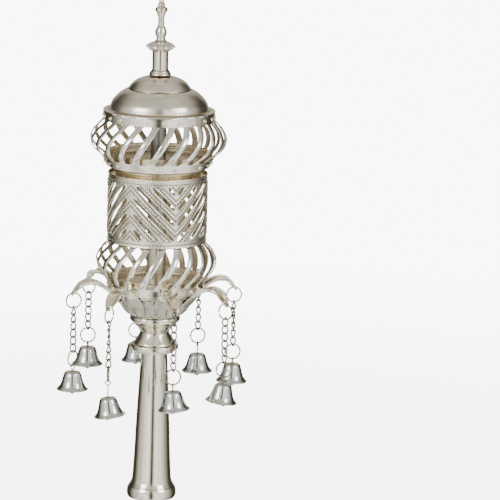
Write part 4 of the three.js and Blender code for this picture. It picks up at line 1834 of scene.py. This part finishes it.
@dataclass(frozen=True)
class Studio:
    """The pale floor, the soft surroundings, the lamps and the camera.

    Attributes:
        distance: how far in front of the axis the camera stands, in metres.
        height: how high it stands, in metres.
        aim: the height on the axis that it is levelled at, in metres.
        pan: how far it turns to the right of the axis, in degrees.
        roll: how far it leans to the left, in degrees.
        lens: its focal length on a 36 mm sensor.
    """

    distance: float = 2.1
    height: float = 0.6
    aim: float = 0.1671
    pan: float = 1.66
    roll: float = 1.56
    lens: float = 237.5

    # azimuths, either way from the front, and how bright the studio is there
    AROUND = (
        (0.0, 0.04), (4.0, 0.12), (10.0, 0.6), (19.0, 1.0), (50.0, 0.95), (72.0, 0.6),
        (90.0, 0.42), (104.0, 0.18), (120.0, 0.04), (146.0, 0.04), (162.0, 0.32), (180.0, 0.5),
    )
    # how bright it is overhead and below, and the elevations between which that starts
    OVERHEAD = 0.5
    OVERHEAD_FROM = (22.0, 58.0)
    GROUND = 0.85
    GROUND_FROM = (-56.0, -24.0)
    # the strength of what metal reflects, of the light on plain surfaces and of the backdrop
    MIRROR = 1.6
    GLOW = 0.85
    BACKDROP = 9.0
    FLOOR_GLOW = 5.5
    # where the floor starts to fade out and where it ends, in metres from the axis
    FADE = (0.25, 0.8)

    def floor(self) -> None:
        """A round pale floor whose rim fades out."""
        draft = MeshDraft()
        draft.spin([(0.0, 0.0), (60.0, 0.0), (200.0, 0.0), (900.0, 0.0)], 96)
        material = bpy.data.materials.new("Floor")
        material.use_nodes = True
        wiring = Wiring(material.node_tree)
        shader = material.node_tree.nodes["Principled BSDF"]
        shader.inputs["Roughness"].default_value = 0.9
        place = wiring.node("ShaderNodeTexCoord").outputs["Object"]
        grain = wiring.noise(place, 14.0, 3.0)
        paint = wiring.blend(grain, (0.92, 0.92, 0.915, 1), (0.94, 0.94, 0.935, 1))
        wiring.feed(paint, shader.inputs["Base Color"])
        reach = wiring.node("ShaderNodeVectorMath", operation="LENGTH")
        wiring.feed(place, reach.inputs[0])
        fade = wiring.inverse(wiring.step(reach.outputs["Value"], *self.FADE))
        wiring.feed(fade, shader.inputs["Alpha"])
        shader.inputs["Emission Color"].default_value = (1.0, 1.0, 1.0, 1)
        shader.inputs["Emission Strength"].default_value = self.FLOOR_GLOW
        floor = draft.build("floor", [material])
        floor.location.z = -0.0002
        floor.visible_glossy = False

    def reflected(self, wiring: Wiring, toward: bpy.types.NodeSocket) -> bpy.types.NodeSocket:
        """What the metal reflects: two wide windows, a dark room, a pale floor and ceiling.

        Args:
            wiring: the world's wiring.
            toward: the direction that is looked in.

        Returns:
            The colour.
        """
        x, y, z = wiring.split(toward)
        turn = wiring.math("ABSOLUTE", wiring.azimuth(x, y))
        lift = wiring.math("DEGREES", wiring.math("ARCSINE", z))
        around = wiring.node("ShaderNodeValToRGB")
        wiring.feed(wiring.math("DIVIDE", turn, 180.0), around.inputs["Fac"])
        ramp = around.color_ramp
        ramp.interpolation = "EASE"
        for azimuth, _ in self.AROUND[1:-1]:
            ramp.elements.new(azimuth / 180)
        for element, (azimuth, level) in zip(ramp.elements, self.AROUND):
            element.position = azimuth / 180
            element.color = (level, level, level, 1)
        overhead = wiring.step(lift, *self.OVERHEAD_FROM)
        level = wiring.math(
            "ADD",
            wiring.math("MULTIPLY", around.outputs["Color"], wiring.inverse(overhead)),
            wiring.math("MULTIPLY", overhead, self.OVERHEAD),
        )
        ground = wiring.inverse(wiring.step(lift, *self.GROUND_FROM))
        level = wiring.math("MAXIMUM", level, wiring.math("MULTIPLY", ground, self.GROUND))
        clutter = wiring.math("MULTIPLY", wiring.noise(toward, 2.6, 2.0), 1.3)
        level = wiring.math("MULTIPLY", level, wiring.math("ADD", clutter, 0.4))
        shade = wiring.blend(level, (0.80, 0.72, 0.56, 1), (1.0, 0.99, 0.95, 1))
        colour = wiring.node("ShaderNodeMix", data_type="RGBA", blend_type="MULTIPLY")
        colour.inputs["Factor"].default_value = 1.0
        wiring.feed(shade, colour.inputs["A"])
        wiring.feed(level, colour.inputs["B"])
        return colour.outputs["Result"]

    def surroundings(self) -> None:
        """The world: a plain pale backdrop, and what the metal reflects of the studio."""
        world = bpy.data.worlds.new("Studio")
        bpy.context.scene.world = world
        world.use_nodes = True
        wiring = Wiring(world.node_tree)
        world.node_tree.nodes.clear()

        def backing(colour: object, strength: float) -> bpy.types.NodeSocket:
            """The shader of a backing of a colour."""
            made = wiring.node("ShaderNodeBackground")
            wiring.feed(colour, made.inputs["Color"])
            made.inputs["Strength"].default_value = strength
            return made.outputs[0]

        def choice(
            fits: bpy.types.NodeSocket, other: bpy.types.NodeSocket, first: bpy.types.NodeSocket
        ) -> bpy.types.NodeSocket:
            """The first shader where the ray fits, and the other elsewhere."""
            made = wiring.node("ShaderNodeMixShader")
            wiring.feed(fits, made.inputs["Fac"])
            wiring.feed(other, made.inputs[1])
            wiring.feed(first, made.inputs[2])
            return made.outputs[0]

        white = (1.0, 1.0, 1.0, 1)
        toward = wiring.node("ShaderNodeTexCoord").outputs["Generated"]
        mirror = backing(self.reflected(wiring, toward), self.MIRROR)
        rays = wiring.node("ShaderNodeLightPath").outputs
        lit = choice(rays["Is Glossy Ray"], backing(white, self.GLOW), mirror)
        shown = choice(rays["Is Camera Ray"], lit, backing(white, self.BACKDROP))
        output = wiring.node("ShaderNodeOutputWorld")
        wiring.feed(shown, output.inputs["Surface"])

    def lamp(self, name: str, place: Vector, size: float, power: float) -> None:
        """A soft lamp aimed at the finial.

        Args:
            name: its name.
            place: where it is, in metres.
            size: the side of its panel, in metres.
            power: its power in watts.
        """
        light = bpy.data.lights.new(name, "AREA")
        light.size = size
        light.energy = power
        lamp = bpy.data.objects.new(name, light)
        bpy.context.scene.collection.objects.link(lamp)
        lamp.location = place
        aim = Vector((0, 0, 0.16)) - place
        lamp.rotation_euler = aim.to_track_quat("-Z", "Y").to_euler()

    def camera(self) -> None:
        """The camera, in front and a little above, panned and leaning."""
        data = bpy.data.cameras.new("camera")
        data.sensor_width = 36.0
        data.lens = self.lens
        data.clip_start, data.clip_end = 0.05, 20.0
        camera = bpy.data.objects.new("camera", data)
        bpy.context.scene.collection.objects.link(camera)
        bpy.context.scene.camera = camera
        place = Vector((0, -self.distance, self.height))
        pan = Matrix.Rotation(math.radians(-self.pan), 3, "Z")
        ahead = pan @ (Vector((0, 0, self.aim)) - place)
        ahead.normalize()
        right = ahead.cross(Vector((0, 0, 1))).normalized()
        up = right.cross(ahead)
        lean = math.radians(self.roll)
        up = up * math.cos(lean) - right * math.sin(lean)
        right = ahead.cross(up).normalized()
        camera.matrix_world = Matrix.Translation(place) @ Matrix(
            (
                (right.x, up.x, -ahead.x),
                (right.y, up.y, -ahead.y),
                (right.z, up.z, -ahead.z),
            )
        ).to_4x4()

    def build(self) -> None:
        """Sets the whole stage."""
        self.floor()
        self.surroundings()
        self.lamp("left softbox", Vector((-1.3, -1.2, 1.1)), 0.9, 14.0)
        self.lamp("right softbox", Vector((1.4, -1.0, 1.2)), 0.9, 12.0)
        self.camera()


# ---------------------------------------------------------------- the whole finial


@dataclass(frozen=True)
class Finial:
    """All the pieces of the finial, in the order that they are put together."""

    def trays(self) -> list[Turned]:
        """The two dishes in the feet of the baskets; their outlines count from their floors."""
        plate = Plate(
            "Tray plate", (0.70, 0.62, 0.48), (0.55, 0.46, 0.32), cover=0.5, patch=60.0,
            smooth=0.26, dull=0.4,
        )
        lower = (
            ((0.0, 0.0), (26.8, 0.0)),
            ((26.8, 0.0), (27.6, 0.3), (28.2, 1.6)),
            ((28.2, 1.6), (28.7, 2.2), (28.7, 3.0)),
            ((28.7, 3.0), (29.1, 3.5), (29.3, 5.0)),
            ((29.3, 5.0), (29.9, 5.2), (30.1, 4.9)),
            ((30.1, 4.9), (29.9, 2.6), (30.2, 0.2), (29.6, -0.4)),
            ((29.6, -0.4), (28.9, -0.9)),
            ((28.9, -0.9), (28.6, -1.4), (28.45, -5.8), (27.7, -6.1)),
            ((27.7, -6.1), (27.6, -0.7)),
            ((27.6, -0.7), (0.0, -0.7)),
        )
        upper = (
            ((0.0, 0.0), (29.6, 0.0)),
            ((29.6, 0.0), (30.6, 0.3), (31.2, 1.8)),
            ((31.2, 1.8), (31.7, 2.4), (31.7, 3.3)),
            ((31.7, 3.3), (32.2, 3.9), (32.4, 5.6)),
            ((32.4, 5.6), (32.9, 5.95), (33.3, 5.6)),
            ((33.3, 5.6), (33.0, 3.0), (33.3, 0.4), (32.6, -0.3)),
            ((32.6, -0.3), (29.9, -0.8)),
            ((29.9, -0.8), (29.4, -1.2), (29.3, -2.8), (28.5, -3.0)),
            ((28.5, -3.0), (28.4, -0.7)),
            ((28.4, -0.7), (0.0, -0.7)),
        )
        low, high = Seat.of("lower_tray").low.z + 6.1, Seat.of("upper_tray").low.z + 3.0
        return [
            Turned("lower_tray", low, lower, plate, Slot.SATIN),
            Turned("upper_tray", high, upper, plate, Slot.SATIN),
        ]

    def tubes(self) -> list[Turned]:
        """The two tubes on the axis inside the baskets; the upper one takes a darker copy of their
        plate, which is painted shade.
        """
        pale = Plate(
            "Tube plate", (0.76, 0.71, 0.60), TAN, cover=0.5, patch=60.0, smooth=0.25, dull=0.38,
        )
        # painted shade: a darker copy of the tube plate for the upper tube, for the shade it sits
        # in and the dark it reflects inside the upper basket
        dark = Plate(
            "Tube plate painted shade", (0.34, 0.35, 0.32), (0.24, 0.23, 0.19), cover=0.4, patch=70.0,
            smooth=0.3, dull=0.42,
        )
        tubes = []
        for node, radius, plate in (("lower_tube", 6.2, pale), ("upper_tube", 4.9, dark)):
            seat = Seat.of(node)
            tall = seat.high.z - seat.low.z
            outline = (
                ((0.0, 0.0), (radius, 0.0)),
                ((radius, 0.0), (radius, tall)),
                ((radius, tall), (0.0, tall)),
            )
            tubes.append(Turned(node, seat.low.z, outline, plate, Slot.SATIN, sides=64))
        return tubes

    def drum_cap(self) -> Turned:
        """The plate that closes the drum, with the neck and its cove on it."""
        # painted light: the cap's colour is raised above the silver so that its neck, shaded under
        # the upper basket's band, still reads pale cream
        plate = Plate(
            "Cap plate painted light", (1.0, 0.93, 0.72), (0.92, 0.80, 0.56), cover=0.5, patch=60.0,
            smooth=0.2, dull=0.32,
        )
        outline = (
            ((0.0, 0.0), (30.9, 0.0)),
            ((30.9, 0.0), (31.0, 0.4), (30.6, 0.8)),
            ((30.6, 0.8), (29.4, 0.9), (27.9, 1.0)),
            ((27.9, 1.0), (27.6, 1.3), (27.6, 4.1)),
            ((27.6, 4.1), (27.9, 4.7), (28.5, 4.9), (28.5, 5.3)),
            ((28.5, 5.3), (28.8, 5.9), (29.4, 6.6), (29.6, 7.3)),
            ((29.6, 7.3), (28.5, 7.3)),
            ((28.5, 7.3), (26.7, 5.0), (26.6, 1.0)),
            ((26.6, 1.0), (0.0, 0.8)),
        )
        return Turned("drum_cap", Seat.of("drum_cap").low.z, outline, plate, Slot.SATIN)

    def dome(self) -> Turned:
        """The spun dome with its stepped cap and its flange."""
        seat = Seat.of("dome")
        plate = Plate(
            "Dome plate", (0.80, 0.765, 0.67), (0.70, 0.62, 0.47), cover=0.28, patch=40.0,
            smooth=0.2, dull=0.28,
            seams=(seat.high.z - 0.2, seat.low.z + 1.2, seat.low.z + 14.3), seam_width=0.5,
            seam_colour=(0.36, 0.25, 0.12),
        )
        outline = (
            ((0.0, 21.8), (8.0, 21.0), (14.2, 19.2), (17.4, 16.0), (19.4, 13.8)),
            ((19.4, 13.8), (24.6, 11.0), (28.2, 7.4), (30.6, 2.6), (31.0, 1.4)),
            ((31.0, 1.4), (34.6, 0.1), (35.8, 0.0)),
            ((35.8, 0.0), (36.25, 0.15), (36.25, 0.5), (35.8, 0.7)),
            ((35.8, 0.7), (33.6, 0.95), (32.2, 1.5)),
            ((32.2, 1.5), (31.8, 2.1), (31.5, 3.6), (30.6, 6.0), (28.6, 8.6), (25.6, 11.4),
             (22.8, 13.2), (20.4, 14.1)),
            ((20.4, 14.1), (20.15, 14.2)),
            ((20.15, 14.2), (20.25, 14.7), (19.9, 15.2)),
            ((19.9, 15.2), (19.0, 16.4), (17.2, 18.4), (14.6, 20.2), (10.8, 21.7), (7.1, 22.45)),
            ((7.1, 22.45), (4.0, 22.55), (0.0, 22.6)),
        )
        return Turned("dome", seat.low.z, outline, plate, Slot.SATIN, sides=144)

    def stem(self) -> Turned:
        """The short tube that the spire stands on."""
        seat = Seat.of("spire_stem")
        tall = seat.high.z - seat.low.z
        plate = Plate(
            "Stem plate", SILVER, CREAM, cover=0.35, patch=90.0, smooth=0.1, dull=0.18,
            seams=(seat.low.z + 0.3, seat.low.z + 3.4), seam_width=0.5,
            seam_colour=(0.34, 0.25, 0.14),
        )
        outline = (
            ((0.0, 0.0), (6.6, 0.0)),
            ((6.6, 0.0), (7.05, 0.4), (7.1, 1.1), (6.7, 1.8), (6.2, 2.3)),
            ((6.2, 2.3), (5.9, 2.9), (5.6, 3.4)),
            ((5.6, 3.4), (5.3, 3.7), (5.2, 4.6), (5.2, 10.0), (5.25, tall - 0.2)),
            ((5.25, tall - 0.2), (5.0, tall), (0.0, tall)),
        )
        return Turned("spire_stem", seat.low.z, outline, plate, Slot.BRIGHT, sides=72)

    def baskets(self) -> list[Basket]:
        """The two pierced baskets."""
        return [
            Basket(
                "lower_basket", 20, 4.5, -10.5, -23.3,
                upper_band=((31.0, 177.4), (31.0, 172.6)),
                bulge=((31.0, 172.6), (33.0, 170.6), (36.6, 166.6), (39.1, 160.9), (38.6, 156.4),
                       (36.4, 151.8), (33.4, 147.8), (32.3, 145.6)),
                lower_band=((32.3, 145.6), (32.1, 145.2), (31.6, 140.4), (31.3, 140.2)),
                dots=((-6.8, 31.75, 142.9, 3.0),),
            ),
            Basket(
                "upper_basket", 22, 4.5, 13.5, -20.7,
                upper_band=((36.1, 257.2), (36.3, 256.9), (36.2, 252.4), (36.2, 252.2)),
                bulge=((36.2, 252.2), (38.4, 249.6), (41.6, 246.0), (44.1, 240.6), (43.4, 235.8),
                       (40.6, 231.6), (37.4, 228.8), (36.3, 227.2)),
                lower_band=((36.3, 227.2), (36.0, 226.7), (33.9, 222.3), (33.4, 222.0)),
                dots=((5.3, 36.2, 254.3, 0.0), (1.0, 34.95, 224.5, 22.0)),
            ),
        ]

    def pendants(self) -> list[Pendant]:
        """The eight bells on chains."""
        facts = (
            (13, 6, 10, 5), (58, 6, 0, -7), (103, 6, 10, -2), (148, 5, 15, 0),
            (-167, 5, 5, 3), (-122, 5, 15, 0), (-77, 6, 55, 0), (-32, 6, 85, 8),
        )
        return [Pendant(i + 1, *fact) for i, fact in enumerate(facts)]

    def wirework(self) -> Wirework:
        """The finishes of the rings, chains, bells and hangers."""
        wire = Plate(
            "Chain wire", (0.28, 0.26, 0.195), (0.16, 0.125, 0.08), cover=0.45, patch=240.0,
            smooth=0.16, dull=0.3,
        )
        nickel = Plate(
            "Bell nickel", (0.68, 0.71, 0.715), (0.56, 0.57, 0.55), cover=0.3, patch=110.0,
            smooth=0.08, dull=0.15,
        )
        bell_inside = Plate(
            "Bell inside", (0.55, 0.53, 0.48), (0.36, 0.31, 0.24), cover=0.5, patch=150.0,
            smooth=0.3, dull=0.42,
        )
        tarnish = Plate(
            "Hanger brass", (0.42, 0.31, 0.18), (0.24, 0.15, 0.08), cover=0.5, patch=300.0,
            smooth=0.3, dull=0.5,
        )
        return Wirework(*(finish.material() for finish in (wire, nickel, bell_inside, tarnish)))

    def build(self) -> None:
        """Builds every piece."""
        leaves = []
        pendants = self.pendants()
        for pendant in pendants:
            seat = Seat.of(pendant.name("top_ring"))
            reach = math.hypot(seat.middle.x, seat.middle.y)
            leaves.append(Leaf(pendant.azimuth, reach, seat.middle.z))
        Handle().build()
        Collar().build()
        Cup().build(leaves)
        for piece in (*self.trays(), *self.tubes(), self.drum_cap(), self.dome(), self.stem()):
            piece.build()
        for basket in self.baskets():
            basket.build()
        Drum().build()
        Spire().build()
        finishes = self.wirework()
        for pendant in pendants:
            pendant.build(finishes)


def main() -> None:
    """Builds the finial and its stage."""
    logging.basicConfig(level=logging.INFO, format="%(name)s: %(message)s")
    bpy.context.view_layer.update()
    Finial().build()
    Studio().build()


if __name__ == "__main__":
    main()
